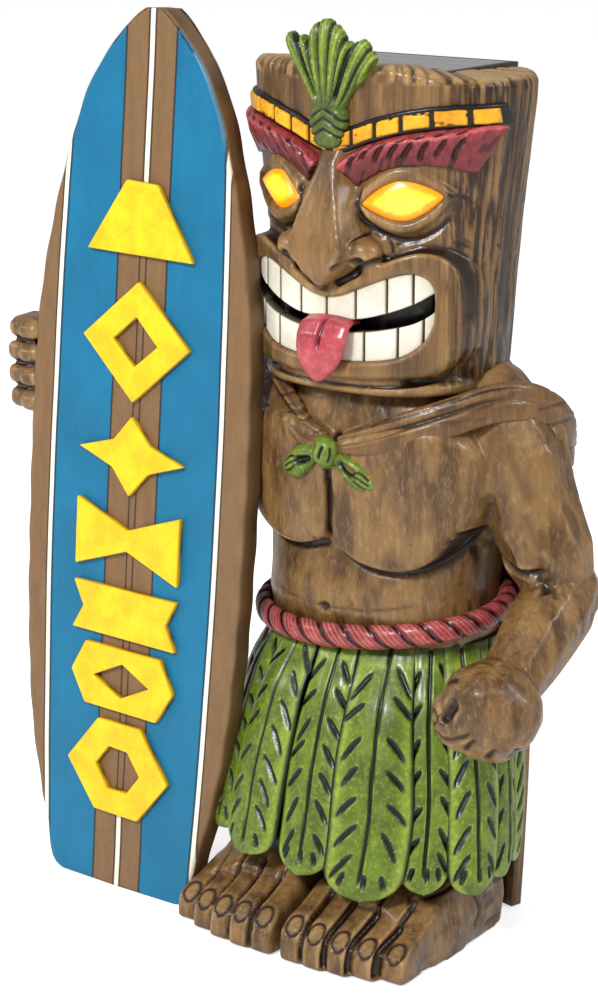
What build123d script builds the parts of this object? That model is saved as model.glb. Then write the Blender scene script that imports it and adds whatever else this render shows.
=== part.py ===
from build123d import *
from math import cos, hypot, pi, radians, sin, tan
import os

# A garden tiki figure: a cast and painted carver's log head on a stocky body in
# a leaf skirt, one arm round an upright surfboard. A solar cell on top of the
# head charges a battery in the base, and two lights glow behind the eyes.
# Built about the figure's own centre line, ground at z = 0, face towards -Y,
# and moved at the end so that the origin is under the middle of the whole piece.

# ---------------------------------------------------------------- driving sizes (mm)
# heights of the stack, each on top of the one before
waist_height = 104.0
torso_height = 90.0
head_height = 104.7

# carver's log that makes the head, tapered towards the chin
head_top_half_width = 50.7
head_top_half_depth = 37.0
head_chin_half_width = 41.0
head_chin_half_depth = 33.0
head_set_forward = 2.0
cast_wall = 6.0
neck_bore_radius = 9.0

# muzzle, lips, teeth and tongue, heights above the chin
muzzle_half_width = 52.0
muzzle_half_depth = 41.0
lip_half_width = 44.5
lip_low = 7.0
lip_high = 50.5
lip_dip = 37.0
mouth_half_width = 34.5
mouth_low = 12.5
mouth_high = 42.5
mouth_dip = 32.5
teeth_set_back = 2.0
bite_upper = 25.5
bite_lower = 21.5
tongue_half_width = 10.5
tongue_tip = 5.5
tongue_proud = 2.5

# eyes, heights above the chin
eye_side = 24.7
eye_rise = 65.8
eye_length = 26.5
eye_opening = 13.2
eye_turn = 26.4
eye_tilt = 6.5
eye_depth = 33.3
lens_thickness = 3.0
lens_set_back = 1.6
lens_clearance = 0.15
lamp_radius = 2.5
lamp_length = 8.6
lamp_clearance = 0.1
holder_radius = 5.6
holder_length = 9.0

# nose
nose_top = 73.0
nose_wing_rise = 50.0
nose_base = 36.0
nose_wing_half_width = 18.5
nose_reach = 46.0

# brows, headband and beads, heights above the chin at the centre and at the temples
brow_proud = 5.0
band_centre = 82.5
band_temple = 93.5
band_half_length = 47.0
band_width = 6.4
band_proud = 1.6
bead_proud = 3.0
bead_width = 4.2
beads_per_side = 6
bead_gap = 1.4

# leaf crest
crest_height = 41.0
crest_half_width = 18.0
crest_thickness = 6.0
crest_foot = 83.0
binding_height = 9.0
binding_half_width = 6.5

# solar cell in the crown
cell_length = 56.0
cell_width = 38.0
cell_thickness = 2.4
tray_rim = 2.5
tray_depth = 9.0
tray_wall = 1.8
tray_set_back = 5.0
tray_proud = 1.2

# torso sections: half width, half depth, centre behind the centre line
waist_half_width = 42.0
waist_half_depth = 29.0
waist_forward = 3.0
belly_rise = 20.0
belly_half_width = 39.5
belly_half_depth = 30.0
chest_rise = 54.0
chest_half_width = 53.0
chest_half_depth = 30.0
shoulder_drop = 16.0
shoulder_half_width = 54.0
shoulder_half_depth = 27.0
neck_half_width = 31.0
neck_half_depth = 25.0
pec_radius = 23.5
pec_side = 22.5
pec_drop = 37.0
pec_forward = 18.5

# lower body under the skirt
base_half_width = 40.0
base_half_depth = 21.0
base_forward = 3.0
base_corner = 12.0
top_corner = 20.0
base_wall = 5.0

# leaf skirt
skirt_hem_height = 27.0
skirt_hem_half_width = 57.0
skirt_hem_half_depth = 39.0
skirt_hem_forward = 21.0
skirt_top_margin = 3.0
skirt_thickness = 7.0
skirt_yoke = 8.0
skirt_leaves = 15
leaf_notch_height = 9.0
leaf_notch_width = 5.0

# twisted waist rope
rope_width = 8.5
rope_bulge = 3.4
rope_round = 2.4
rope_dip = 6.0
rope_rise = 7.0

# feet
foot_half_span = 49.0
foot_gap = 2.5
foot_reach = 69.0
foot_heel = 8.0
foot_height = 26.0
toe_height = 15.0
toe_count = 5
toe_groove_width = 2.6
toe_groove_depth = 3.5

# arms: half width of the eight-sided sections
arm_shoulder_size = 19.0
arm_bicep_size = 17.0
arm_elbow_size = 14.0
arm_wrist_size = 11.0
fist_width = 33.0
fist_depth = 32.0
fist_height = 36.0
fist_chamfer = 8.0
elbow_out = 67.0
elbow_rise = 9.0
fist_out = 67.5
fist_forward = 41.0
fist_drop = 9.0
grip_height = 187.0
finger_count = 4
finger_height = 8.8
finger_reach = 15.0
finger_depth = 20.0
finger_grip = 2.0

# surfboard
board_length = 318.5
board_half_width = 49.0
board_nose_half_width = 22.0
board_tail_half_width = 31.0
board_thickness = 11.0
board_edge = 2.0
board_side = 83.7
board_forward = 56.1
board_lean_back = 3.4
board_lean_in = 1.6
motif_proud = 2.4
motif_half_width = 23.5
motif_edge = 5.5

# cape and its tie
cape_half_width = 51.0
cape_half_depth = 37.5
cape_thickness = 6.0
cape_front = 8.0
cape_top_drop = 10.0
collar_proud = 3.2
collar_width = 9.0
collar_knot_drop = 20.0
collar_side_drop = 4.0
knot_radius = 5.5
bow_leaf_length = 17.0
bow_leaf_width = 11.0
bow_leaf_thickness = 4.5
bow_forward = 40.0

# battery, its box and the cover under the base
battery_radius = 7.25
battery_length = 50.5
battery_fit = 0.5
contact_room = 4.0
contact_thickness = 0.5
contact_size = 11.0
box_wall = 1.5
box_plate = 2.0
plate_lip = 3.0
plate_fit = 0.3
plate_height = 5.0
bay_shift = -5.5
cover_thickness = 1.6
cover_margin = 1.4
cover_depth = 32.0
screw_radius = 1.1
screw_head_radius = 2.0
screw_head_height = 1.0
screw_length = 8.0
screw_side = 12.5
boss_radius = 2.6

# slide switch beside the cover
switch_side = 30.0
switch_length = 9.0
switch_width = 5.0
switch_height = 6.0
switch_wall = 0.8
knob_size = 2.4
knob_foot = 0.8
knob_travel = 3.0
knob_fit = 0.2
knob_drop = 1.6

# circuit board and wires
circuit_length = 34.0
circuit_width = 22.0
circuit_thickness = 1.6
circuit_lift = 7.0
chip_height = 2.0
wire_diameter = 1.6

# ---------------------------------------------------------------- derived places
chin_height = waist_height + torso_height
crown_height = chin_height + head_height
face = Plane(origin=(0, 0, chin_height), x_dir=(1, 0, 0), z_dir=(0, -1, 0))
face_depth = 80.0
bay_length = battery_length + contact_room
bay_width = 2 * (battery_radius + battery_fit)
battery_height = plate_height + battery_radius + battery_fit
bay_top = battery_height + battery_radius + battery_fit
box_top = bay_top + box_wall
inner_half_width = base_half_width - base_wall
inner_half_depth = base_half_depth - base_wall


def mirrored(points):
    """The points of a right half, carried on round the left half to the start."""
    return points + [(-x, y) for x, y in reversed(points) if abs(x) > 0]


def ellipse_stack(sections):
    """A loft through ellipses, each (height, half width, half depth, centre y)."""
    with BuildPart() as stack:
        for height, half_width, half_depth, centre in sections:
            with BuildSketch(Plane.XY.offset(height)):
                with Locations((0, centre)):
                    Ellipse(half_width, half_depth)
        loft(ruled=True)
    return stack.part


def head_log(grow):
    """The tapered log, grown on all sides by grow."""
    return ellipse_stack([
        (chin_height, head_chin_half_width + grow, head_chin_half_depth + grow, -head_set_forward),
        (crown_height, head_top_half_width + grow, head_top_half_depth + grow, -head_set_forward),
    ])


def muzzle(grow):
    """The jaw's broad front, a band of the face that stands forward of the log."""
    return ellipse_stack([
        (chin_height, muzzle_half_width + grow, muzzle_half_depth + grow, -head_set_forward),
        (chin_height + lip_high + 5, muzzle_half_width + grow, muzzle_half_depth + grow, -head_set_forward),
    ])


def torso_form(grow):
    """Waist, belly, chest and shoulders as one stack of ovals."""
    return ellipse_stack([
        (waist_height, waist_half_width + grow, waist_half_depth + grow, -waist_forward),
        (waist_height + belly_rise, belly_half_width + grow, belly_half_depth + grow, -waist_forward),
        (waist_height + chest_rise, chest_half_width + grow, chest_half_depth + grow, -waist_forward),
        (chin_height - shoulder_drop, shoulder_half_width + grow, shoulder_half_depth + grow, -1),
        (chin_height, neck_half_width + grow, neck_half_depth + grow, -1),
    ])


def carve(body, points, corner):
    """The part of body that a rounded outline on the face picks out, seen from the front."""
    with BuildPart() as piece:
        add(body)
        with BuildSketch(face):
            with BuildLine():
                Polyline(*points, close=True)
            make_face()
            if corner > 0:
                fillet(vertices(), corner)
        extrude(amount=face_depth, mode=Mode.INTERSECT)
    return piece.part


# ---------------------------------------------------------------- surfboard
lean_back = radians(board_lean_back)
lean_in = radians(board_lean_in)
board_up = (sin(lean_in), cos(lean_in) * sin(lean_back), cos(lean_in) * cos(lean_back))
board_across = (cos(lean_in), -sin(lean_in) * sin(lean_back), -sin(lean_in) * cos(lean_back))
board_out = (0, -cos(lean_back), sin(lean_back))
board_plane = Plane(origin=(-board_side, -board_forward, 0), x_dir=board_across, z_dir=board_out)

board_right = [
    (board_tail_half_width, -4),
    (board_tail_half_width + 5, 22),
    (board_half_width - 4, 60),
    (board_half_width, 140),
    (board_half_width - 1, board_length - 113),
    (board_half_width - 13, board_length - 48),
    (board_nose_half_width, board_length - 18),
    (0, board_length),
]

with BuildPart() as surfboard:
    with BuildSketch(board_plane):
        with BuildLine():
            Spline(*board_right)
            Spline(*[(-x, y) for x, y in board_right])
            Line((-board_tail_half_width, -4), (board_tail_half_width, -4))
        make_face()
    extrude(amount=-board_thickness)
    chamfer(faces().sort_by(Axis.Y)[0].edges(), board_edge / 2)
    split(bisect_by=Plane.XY, keep=Keep.TOP)


# raised carved motifs up the middle of the board: bars, lozenges and leaf shapes
def motif(points, low, high, hole=None):
    """A raised figure on the board between two heights, from points in -1..1 by 0..1."""
    rise = high - low
    with BuildPart() as figure:
        with BuildSketch(board_plane):
            with BuildLine():
                Polyline(*[(x * motif_half_width, low + y * rise) for x, y in points], close=True)
            make_face()
            if hole:
                with BuildLine():
                    Polyline(*[(x * motif_half_width, low + y * rise) for x, y in hole], close=True)
                make_face(mode=Mode.SUBTRACT)
        extrude(amount=motif_proud)
    return figure


def shrunk(points, share):
    """A motif's outline drawn in about its own middle."""
    return [(x * share, 0.5 + (y - 0.5) * share) for x, y in points]


lozenge = [(-1, 0.5), (-0.42, 0), (0.42, 0), (1, 0.5), (0.42, 1), (-0.42, 1)]
pointed_bar = [(-1, 0.5), (-0.72, 0), (0.72, 0), (1, 0.5), (0.72, 1), (-0.72, 1)]
nicked_bar = [(-1, 0), (1, 0), (0.8, 0.5), (1, 1), (-1, 1), (-0.8, 0.5)]
waisted = [(-1, 0), (0, 0.34), (1, 0), (1, 1), (0, 0.66), (-1, 1)]
star = [
    (r * cos(radians(45 * index)), 0.5 + r * sin(radians(45 * index)) / 2)
    for index, r in enumerate([1.0, 0.5] * 4)
]
diamond = [(-1, 0.5), (0, 0), (1, 0.5), (0, 1)]
wedge = [(-1, 0), (1, 0), (0.3, 1), (-0.3, 1)]

motif_1 = motif(lozenge, 28.0, 63.0, shrunk(lozenge, 0.45))
motif_2 = motif(pointed_bar, 67.5, 90.5, shrunk(diamond, 0.55))
motif_3 = motif(nicked_bar, 95.0, 113.0)
motif_4 = motif(waisted, 118.5, 144.0)
motif_5 = motif(star, 147.8, 176.2)
motif_6 = motif(diamond, 181.0, 224.5, shrunk(diamond, 0.42))
motif_7 = motif(wedge, 233.0, 258.5)

# ---------------------------------------------------------------- torso
with BuildPart() as torso_shell:
    add(torso_form(0))
    with Locations(
        (pec_side, -pec_forward, chin_height - pec_drop),
        (-pec_side, -pec_forward, chin_height - pec_drop),
    ):
        Sphere(pec_radius)
    add(torso_form(-cast_wall), mode=Mode.SUBTRACT)
    with BuildSketch(Plane.XY.offset(chin_height - 2 * cast_wall)):
        Circle(neck_bore_radius)
    extrude(amount=3 * cast_wall, mode=Mode.SUBTRACT)
    add(surfboard.part, mode=Mode.SUBTRACT)

# ---------------------------------------------------------------- head
eye_facing = radians(eye_turn)


def eye_plane(side):
    """A plane square to one eye, its X towards the temple."""
    out = (side * sin(eye_facing), -cos(eye_facing), 0)
    centre = (side * eye_side, -eye_depth, chin_height + eye_rise)
    level = (cos(eye_facing), side * sin(eye_facing), 0)
    return Plane(origin=centre, x_dir=level, z_dir=out).rotated((0, 0, side * eye_tilt))


def almond(length, height):
    """An outline of two arcs that meet at pointed corners, as an eye or a leaf has."""
    with BuildSketch() as outline:
        with BuildLine():
            ThreePointArc((-length / 2, 0), (0, height / 2), (length / 2, 0))
            ThreePointArc((length / 2, 0), (0, -height / 2), (-length / 2, 0))
        make_face()
    return outline.sketch_local


nose_sections = [
    (nose_base, nose_wing_half_width * 0.72, nose_reach - 3.0),
    (nose_wing_rise, nose_wing_half_width, nose_reach - 2.0),
    (nose_top, nose_wing_half_width * 0.3, nose_reach - 6.0),
]
lip_outline = mirrored([
    (0, lip_dip), (lip_half_width - 14, lip_high), (lip_half_width - 1, lip_high - 6.5),
    (lip_half_width, lip_low + 13), (lip_half_width - 11, lip_low),
])
mouth_outline = mirrored([
    (0, mouth_dip), (mouth_half_width - 6, mouth_high), (mouth_half_width, mouth_high - 6),
    (mouth_half_width, mouth_low + 11), (mouth_half_width - 8.5, mouth_low + 1), (8, mouth_low),
])

crown_pocket_height = crown_height + tray_proud - tray_depth

with BuildPart() as head_shell:
    add(head_log(0))
    add(carve(muzzle(0), lip_outline, 4) - carve(muzzle(1), mouth_outline, 1.5))
    for rise, half_width, reach in nose_sections:
        with BuildSketch(Plane.XY.offset(chin_height + rise)) as nose_section:
            with BuildLine():
                Polyline((-half_width, -20), (-half_width, -reach + 8), (0, -reach),
                         (half_width, -reach + 8), (half_width, -20), close=True)
            make_face()
    loft(ruled=True)
    for height, half_width, half_depth in [
        (chin_height + cast_wall, head_chin_half_width - cast_wall, head_chin_half_depth - cast_wall),
        (crown_pocket_height - cast_wall / 2, head_top_half_width - cast_wall - 1,
         head_top_half_depth - cast_wall - 1),
    ]:
        with BuildSketch(Plane.XY.offset(height)):
            with Locations((0, -head_set_forward)):
                Ellipse(half_width, half_depth)
    loft(ruled=True, mode=Mode.SUBTRACT)
    with BuildSketch(Plane.XY.offset(crown_pocket_height)):
        with Locations((0, tray_set_back)):
            Rectangle(cell_length + 2 * tray_rim, cell_width + 2 * tray_rim)
    extrude(amount=tray_depth + tray_proud, mode=Mode.SUBTRACT)
    with BuildSketch(Plane.XY.offset(crown_pocket_height - cast_wall)):
        with Locations((0, tray_set_back)):
            Circle(2 * wire_diameter)
    extrude(amount=2 * cast_wall, mode=Mode.SUBTRACT)
    with BuildSketch(Plane.XY.offset(chin_height - cast_wall)):
        Circle(neck_bore_radius)
    extrude(amount=3 * cast_wall, mode=Mode.SUBTRACT)
    for side in (1, -1):
        with BuildSketch(eye_plane(side).offset(-3 * cast_wall)):
            add(almond(eye_length, eye_opening))
        extrude(amount=6 * cast_wall, mode=Mode.SUBTRACT)
    add(surfboard.part, mode=Mode.SUBTRACT)


def eye_lens(side):
    """A glowing almond that fills the eye's opening."""
    with BuildPart() as lens:
        with BuildSketch(eye_plane(side).offset(-lens_set_back - lens_thickness)):
            add(almond(eye_length - 2 * lens_clearance, eye_opening - 2 * lens_clearance))
        extrude(amount=lens_thickness)
    return lens


def lamp_holder(side):
    """A sleeve that seats one lamp square behind the lens."""
    with BuildPart() as holder:
        with BuildSketch(eye_plane(side).offset(-lens_set_back - lens_thickness - holder_length)):
            Circle(holder_radius)
            Circle(lamp_radius + lamp_clearance, mode=Mode.SUBTRACT)
        extrude(amount=holder_length)
    return holder


def lamp(side):
    """A round-nosed lamp with a flange at its foot."""
    foot = -lens_set_back - lens_thickness - holder_length - 1.0
    with BuildPart() as bulb:
        with BuildSketch(eye_plane(side).offset(foot)):
            Circle(lamp_radius)
        extrude(amount=lamp_length)
        fillet(bulb.edges().sort_by(lambda e: e.center().dot(eye_plane(side).z_dir))[-1], lamp_radius * 0.9)
        with BuildSketch(eye_plane(side).offset(foot)):
            Circle(lamp_radius + 0.4)
        extrude(amount=1.0)
    return bulb


eye_lens_left = eye_lens(1)
eye_lens_right = eye_lens(-1)
led_holder_left = lamp_holder(1)
led_holder_right = lamp_holder(-1)
led_left = lamp(1)
led_right = lamp(-1)

# teeth and tongue lie on the log inside the lip ring
upper_row = mirrored([
    (0, mouth_dip), (mouth_half_width - 6, mouth_high), (mouth_half_width, mouth_high - 6),
    (mouth_half_width, bite_upper + 7), (mouth_half_width / 2, bite_upper + 2.5), (0, bite_upper),
])
lower_row = mirrored([
    (0, bite_lower), (mouth_half_width, bite_lower + 5), (mouth_half_width, mouth_low + 11),
    (mouth_half_width - 8.5, mouth_low + 1), (8, mouth_low),
])
tongue_outline = mirrored([
    (0, tongue_tip), (5, tongue_tip + 1.5), (tongue_half_width, tongue_tip + 10),
    (tongue_half_width, bite_upper - 0.5),
])

log_core = head_log(0)


def teeth(row):
    """A row of teeth between the log and the lips."""
    with BuildPart() as teeth_row:
        add(carve(muzzle(-teeth_set_back), row, 0))
        add(carve(muzzle(1), mouth_outline, 1.5), mode=Mode.INTERSECT)
        for piece in (log_core, head_shell.part, surfboard.part):
            add(piece, mode=Mode.SUBTRACT)
    return teeth_row


upper_teeth = teeth(upper_row)
lower_teeth = teeth(lower_row)

with BuildPart() as tongue:
    add(carve(muzzle(tongue_proud), tongue_outline, 0.8))
    for piece in (log_core, head_shell.part, upper_teeth.part, lower_teeth.part):
        add(piece, mode=Mode.SUBTRACT)


def brow(side):
    """One carved brow, from beside the nose up to the temple."""
    outline = [
        (side * x, y) for x, y in [
            (2.5, 76), (band_half_length * 0.32, band_centre - 1), (band_half_length, band_temple - 4.2),
            (43, 75), (30, 77), (20, 75), (11, 70), (4, 72.5),
        ]
    ]
    with BuildPart() as ridge:
        add(carve(head_log(brow_proud), outline, 0))
        for other in (head_shell.part, log_core, surfboard.part):
            add(other, mode=Mode.SUBTRACT)
    return ridge


brow_left = brow(1)
brow_right = brow(-1)


def band_line(x):
    """Height of the headband's middle above the chin at x."""
    share = min(abs(x) / band_half_length, 1)
    return band_centre + (band_temple - band_centre) * share ** 0.8


band_steps = [band_half_length * i / 3 for i in range(4)]
band_upper = [(x, band_line(x) + band_width / 2) for x in band_steps]
band_lower = [(x, band_line(x) - band_width / 2) for x in reversed(band_steps)]
bead_pitch = band_half_length / beads_per_side

with BuildPart() as band_beads:
    for side in (1, -1):
        for index in range(beads_per_side):
            start = index * bead_pitch + bead_gap / 2
            end = (index + 1) * bead_pitch - bead_gap / 2
            bead = [
                (side * start, band_line(start) - bead_width / 2),
                (side * end, band_line(end) - bead_width / 2),
                (side * end, band_line(end) + bead_width / 2),
                (side * start, band_line(start) + bead_width / 2),
            ]
            add(carve(head_log(bead_proud), bead, 0))
    for piece in (log_core, surfboard.part):
        add(piece, mode=Mode.SUBTRACT)

with BuildPart() as head_band:
    for side in (1, -1):
        add(carve(head_log(band_proud), [(side * x, y) for x, y in band_upper + band_lower], 0))
    for piece in (log_core, brow_left.part, brow_right.part, band_beads.part, surfboard.part):
        add(piece, mode=Mode.SUBTRACT)

# leaf crest, a three-lobed fan tied by a binding, standing on the band's point
crest_plane = face.offset(head_set_forward + head_top_half_depth - 2)
with BuildPart() as crest_binding:
    with BuildSketch(crest_plane):
        with Locations((0, crest_foot + binding_height / 2)):
            Rectangle(2 * binding_half_width, binding_height)
    extrude(amount=crest_thickness + 2)
    chamfer(edges().filter_by(Axis.Z), 2)
    for piece in (log_core, head_band.part, band_beads.part):
        add(piece, mode=Mode.SUBTRACT)

with BuildPart() as leaf_crest:
    with BuildSketch(crest_plane):
        with BuildLine():
            foot = crest_foot + binding_height
            tip = crest_foot + crest_height
            Polyline(
                (-5, foot), (-crest_half_width, tip - 15), (-crest_half_width * 0.85, tip - 8),
                (-crest_half_width * 0.45, tip - 9), (-4, tip - 1), (0, tip), (4, tip - 1),
                (crest_half_width * 0.45, tip - 9), (crest_half_width, tip - 12),
                (crest_half_width, tip - 18), (5, foot), close=True,
            )
        make_face()
    extrude(amount=crest_thickness)
    add(log_core, mode=Mode.SUBTRACT)

# ---------------------------------------------------------------- solar cell and tray
tray_length = cell_length + 2 * tray_rim
tray_width = cell_width + 2 * tray_rim
cell_height = crown_height + tray_proud - cell_thickness

with BuildPart() as solar_tray:
    with BuildSketch(Plane.XY.offset(crown_pocket_height)):
        with Locations((0, tray_set_back)):
            Rectangle(tray_length, tray_width)
    extrude(amount=tray_depth)
    with BuildSketch(Plane.XY.offset(cell_height)):
        with Locations((0, tray_set_back)):
            Rectangle(cell_length, cell_width)
    extrude(amount=cell_thickness, mode=Mode.SUBTRACT)
    with BuildSketch(Plane.XY.offset(crown_pocket_height + tray_wall)):
        with Locations((0, tray_set_back)):
            Rectangle(cell_length - 2 * tray_wall, cell_width - 2 * tray_wall)
    extrude(amount=tray_depth, mode=Mode.SUBTRACT)
    with BuildSketch(Plane.XY.offset(crown_pocket_height)):
        with Locations((0, tray_set_back)):
            Circle(2 * wire_diameter)
    extrude(amount=tray_wall, mode=Mode.SUBTRACT)

with BuildPart() as solar_panel:
    with BuildSketch(Plane.XY.offset(cell_height)):
        with Locations((0, tray_set_back)):
            Rectangle(cell_length, cell_width)
    extrude(amount=cell_thickness)

# ---------------------------------------------------------------- lower body
with BuildPart() as lower_form:
    with BuildSketch(Plane.XY):
        with Locations((0, -base_forward)):
            RectangleRounded(2 * base_half_width, 2 * base_half_depth, base_corner)
    with BuildSketch(Plane.XY.offset(waist_height)):
        with Locations((0, -base_forward)):
            RectangleRounded(2 * base_half_width - 6, 2 * base_half_depth + 4, base_corner)
    loft(ruled=True)

with BuildPart() as lower_body:
    add(lower_form.part)
    with BuildSketch(Plane.XY):
        with Locations((0, -base_forward)):
            RectangleRounded(2 * inner_half_width, 2 * inner_half_depth, base_corner - base_wall)
    extrude(amount=waist_height, mode=Mode.SUBTRACT)
    with BuildSketch(Plane.XY):
        with Locations((0, -base_forward)):
            RectangleRounded(2 * (inner_half_width + plate_lip), 2 * (inner_half_depth + plate_lip),
                             base_corner - base_wall + plate_lip)
    extrude(amount=plate_height, mode=Mode.SUBTRACT)

# ---------------------------------------------------------------- leaf skirt
skirt_top = waist_height
skirt_top_half_width = waist_half_width + skirt_top_margin
skirt_top_half_depth = waist_half_depth + skirt_top_margin

with BuildPart() as leaf_skirt:
    add(ellipse_stack([
        (skirt_hem_height, skirt_hem_half_width, skirt_hem_half_depth, -skirt_hem_forward),
        (skirt_top, skirt_top_half_width, skirt_top_half_depth, -waist_forward),
    ]))
    add(ellipse_stack([
        (skirt_hem_height, skirt_hem_half_width - skirt_thickness,
         skirt_hem_half_depth - skirt_thickness, -skirt_hem_forward),
        (skirt_top - skirt_yoke, skirt_top_half_width - skirt_thickness,
         skirt_top_half_depth - skirt_thickness, -waist_forward),
    ]), mode=Mode.SUBTRACT)
    for index in range(skirt_leaves):
        angle = 360 * index / skirt_leaves
        notch_plane = Plane(
            origin=(0, -skirt_hem_forward, skirt_hem_height),
            x_dir=(-sin(radians(angle)), cos(radians(angle)), 0),
            z_dir=(cos(radians(angle)), sin(radians(angle)), 0),
        )
        with BuildSketch(notch_plane):
            with BuildLine():
                Polyline((-leaf_notch_width / 2, -1), (0, leaf_notch_height),
                         (leaf_notch_width / 2, -1), close=True)
            make_face()
        extrude(amount=2 * skirt_hem_half_width, mode=Mode.SUBTRACT)
    add(lower_form.part, mode=Mode.SUBTRACT)
    add(surfboard.part, mode=Mode.SUBTRACT)

# ---------------------------------------------------------------- waist rope
rope_plane = Plane(origin=(0, -waist_forward, waist_height + rope_rise), x_dir=(1, 0, 0),
                   z_dir=(0, -rope_dip, waist_half_depth))
with BuildPart() as waist_rope:
    with BuildSketch(rope_plane.offset(-rope_width / 2)):
        Ellipse(waist_half_width + rope_bulge, waist_half_depth + rope_bulge)
    extrude(amount=rope_width)
    fillet(edges(), rope_round)
    for piece in (torso_form(0), leaf_skirt.part, lower_body.part, surfboard.part):
        add(piece, mode=Mode.SUBTRACT)
    split(bisect_by=Plane.XY.offset(waist_height), keep=Keep.TOP)

# ---------------------------------------------------------------- feet
def foot(side):
    """One broad bare foot, square-toed, with deep grooves between the toes."""
    inner = foot_gap / 2
    outline = [
        (side * inner, -foot_reach - 2), (side * foot_half_span * 0.55, -foot_reach - 1),
        (side * foot_half_span, -foot_reach + 6), (side * foot_half_span, -foot_heel * 3),
        (side * (foot_half_span - 4), foot_heel), (side * inner, foot_heel),
    ]
    toe_pitch = (foot_half_span - inner) / toe_count
    with BuildPart() as piece:
        with BuildSketch(Plane.XY):
            with BuildLine():
                Polyline(*outline, close=True)
            make_face()
        extrude(amount=foot_height)
        with BuildSketch(Plane.YZ.offset(-2 * foot_half_span)):
            with BuildLine():
                Polyline((-foot_reach - 5, toe_height), (-foot_reach * 0.6, foot_height + 1),
                         (-foot_reach - 5, foot_height + 1), close=True)
            make_face()
        extrude(amount=4 * foot_half_span, mode=Mode.SUBTRACT)
        for index in range(1, toe_count):
            with BuildSketch(Plane.XY.offset(-1)):
                with Locations((side * (inner + index * toe_pitch), -foot_reach - 2)):
                    Rectangle(toe_groove_width, 2 * toe_groove_depth)
            extrude(amount=foot_height + 2, mode=Mode.SUBTRACT)
        for other in (lower_form.part, leaf_skirt.part, surfboard.part):
            add(other, mode=Mode.SUBTRACT)
    return piece


left_foot = foot(1)
right_foot = foot(-1)

# ---------------------------------------------------------------- arms
shoulder_height = chin_height - shoulder_drop


def limb(stations):
    """An eight-sided carved limb through (point, half width) stations."""
    points = [Vector(*point) for point, _ in stations]
    with BuildPart() as stretch:
        for index, (point, size) in enumerate(stations):
            before = points[max(index - 1, 0)]
            after = points[min(index + 1, len(points) - 1)]
            section_plane = Plane(origin=points[index], x_dir=(0, 0, 1) if abs((after - before).normalized().Z) < 0.7
                                  else (1, 0, 0), z_dir=after - before)
            with BuildSketch(section_plane):
                RegularPolygon(size, 8, major_radius=False)
        loft(ruled=True)
    return stretch.part


fist_centre = (fist_out, -fist_forward, waist_height - fist_drop)
elbow = (elbow_out, 0, waist_height + elbow_rise)

with BuildPart() as fist:
    with BuildSketch(Plane.XY.offset(fist_centre[2] - fist_height / 2)):
        with Locations((fist_centre[0], fist_centre[1])):
            Rectangle(fist_width, fist_depth)
    extrude(amount=fist_height)
    chamfer(edges(), fist_chamfer)

with BuildPart() as left_arm:
    add(limb([
        ((shoulder_half_width - 12, 0, shoulder_height - 2), arm_shoulder_size - 2),
        ((shoulder_half_width - 2, 1, shoulder_height - 18), arm_shoulder_size - 2),
        ((elbow_out - 6, 2, waist_height + 36), arm_bicep_size - 2),
        ((elbow_out - 1, 1, waist_height + 16), arm_elbow_size),
    ]))
    add(limb([
        ((elbow_out - 2, 6, waist_height + 18), arm_elbow_size),
        (elbow, arm_elbow_size),
        ((fist_out, -fist_forward + 14, waist_height - 1), arm_wrist_size),
    ]))
    add(fist.part)
    for piece in (torso_shell.part, torso_form(0), waist_rope.part, leaf_skirt.part):
        add(piece, mode=Mode.SUBTRACT)

grip_side = -board_side - board_half_width + grip_height * tan(lean_in)
grip_forward = -board_forward + grip_height * tan(lean_back)
grip_back = grip_forward + board_thickness

with BuildPart() as right_arm:
    add(limb([
        ((-shoulder_half_width + 12, 0, shoulder_height - 2), arm_shoulder_size - 2),
        ((-shoulder_half_width - 4, 1, shoulder_height - 16), arm_shoulder_size - 2),
        ((-board_side - 4, 2, grip_height - 36), arm_bicep_size - 3),
    ]))
    add(limb([
        ((-board_side + 6, 2, grip_height - 39), arm_elbow_size),
        ((-board_side - 14, -2, grip_height - 26), arm_elbow_size),
        ((grip_side + 8, grip_back + 11, grip_height - 2), arm_wrist_size),
    ]))
    palm_half = finger_count * finger_height / 2
    with BuildSketch(Plane.XY.offset(grip_height - palm_half)):
        with Locations((grip_side + 5, grip_back + 7)):
            RectangleRounded(24, 15, 5)
    extrude(amount=2 * palm_half)
    for index in range(finger_count):
        low = grip_height - palm_half + index * finger_height
        with BuildSketch(Plane.XY.offset(low + 0.3)):
            with Locations((grip_side - (finger_reach - finger_grip) / 2, grip_forward + finger_depth / 2 - 1)):
                RectangleRounded(finger_reach + finger_grip, finger_depth, 4)
        extrude(amount=finger_height - 0.6)
    for piece in (torso_shell.part, torso_form(0), surfboard.part, leaf_skirt.part):
        add(piece, mode=Mode.SUBTRACT)

# ---------------------------------------------------------------- cape, collar and bow
with BuildPart() as cape:
    add(ellipse_stack([
        (0, cape_half_width, cape_half_depth, -head_set_forward),
        (chin_height - cape_top_drop, cape_half_width + 6, cape_half_depth - 4, -head_set_forward),
    ]))
    add(ellipse_stack([
        (0, cape_half_width - cape_thickness, cape_half_depth - cape_thickness, -head_set_forward),
        (chin_height - cape_top_drop, cape_half_width + 6 - cape_thickness,
         cape_half_depth - 4 - cape_thickness, -head_set_forward),
    ]), mode=Mode.SUBTRACT)
    split(bisect_by=Plane.XZ.offset(-cape_front), keep=Keep.BOTTOM)
    for piece in (torso_shell.part, torso_form(0), leaf_skirt.part, left_arm.part, right_arm.part,
                  left_foot.part, right_foot.part, lower_body.part, waist_rope.part):
        add(piece, mode=Mode.SUBTRACT)

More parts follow.
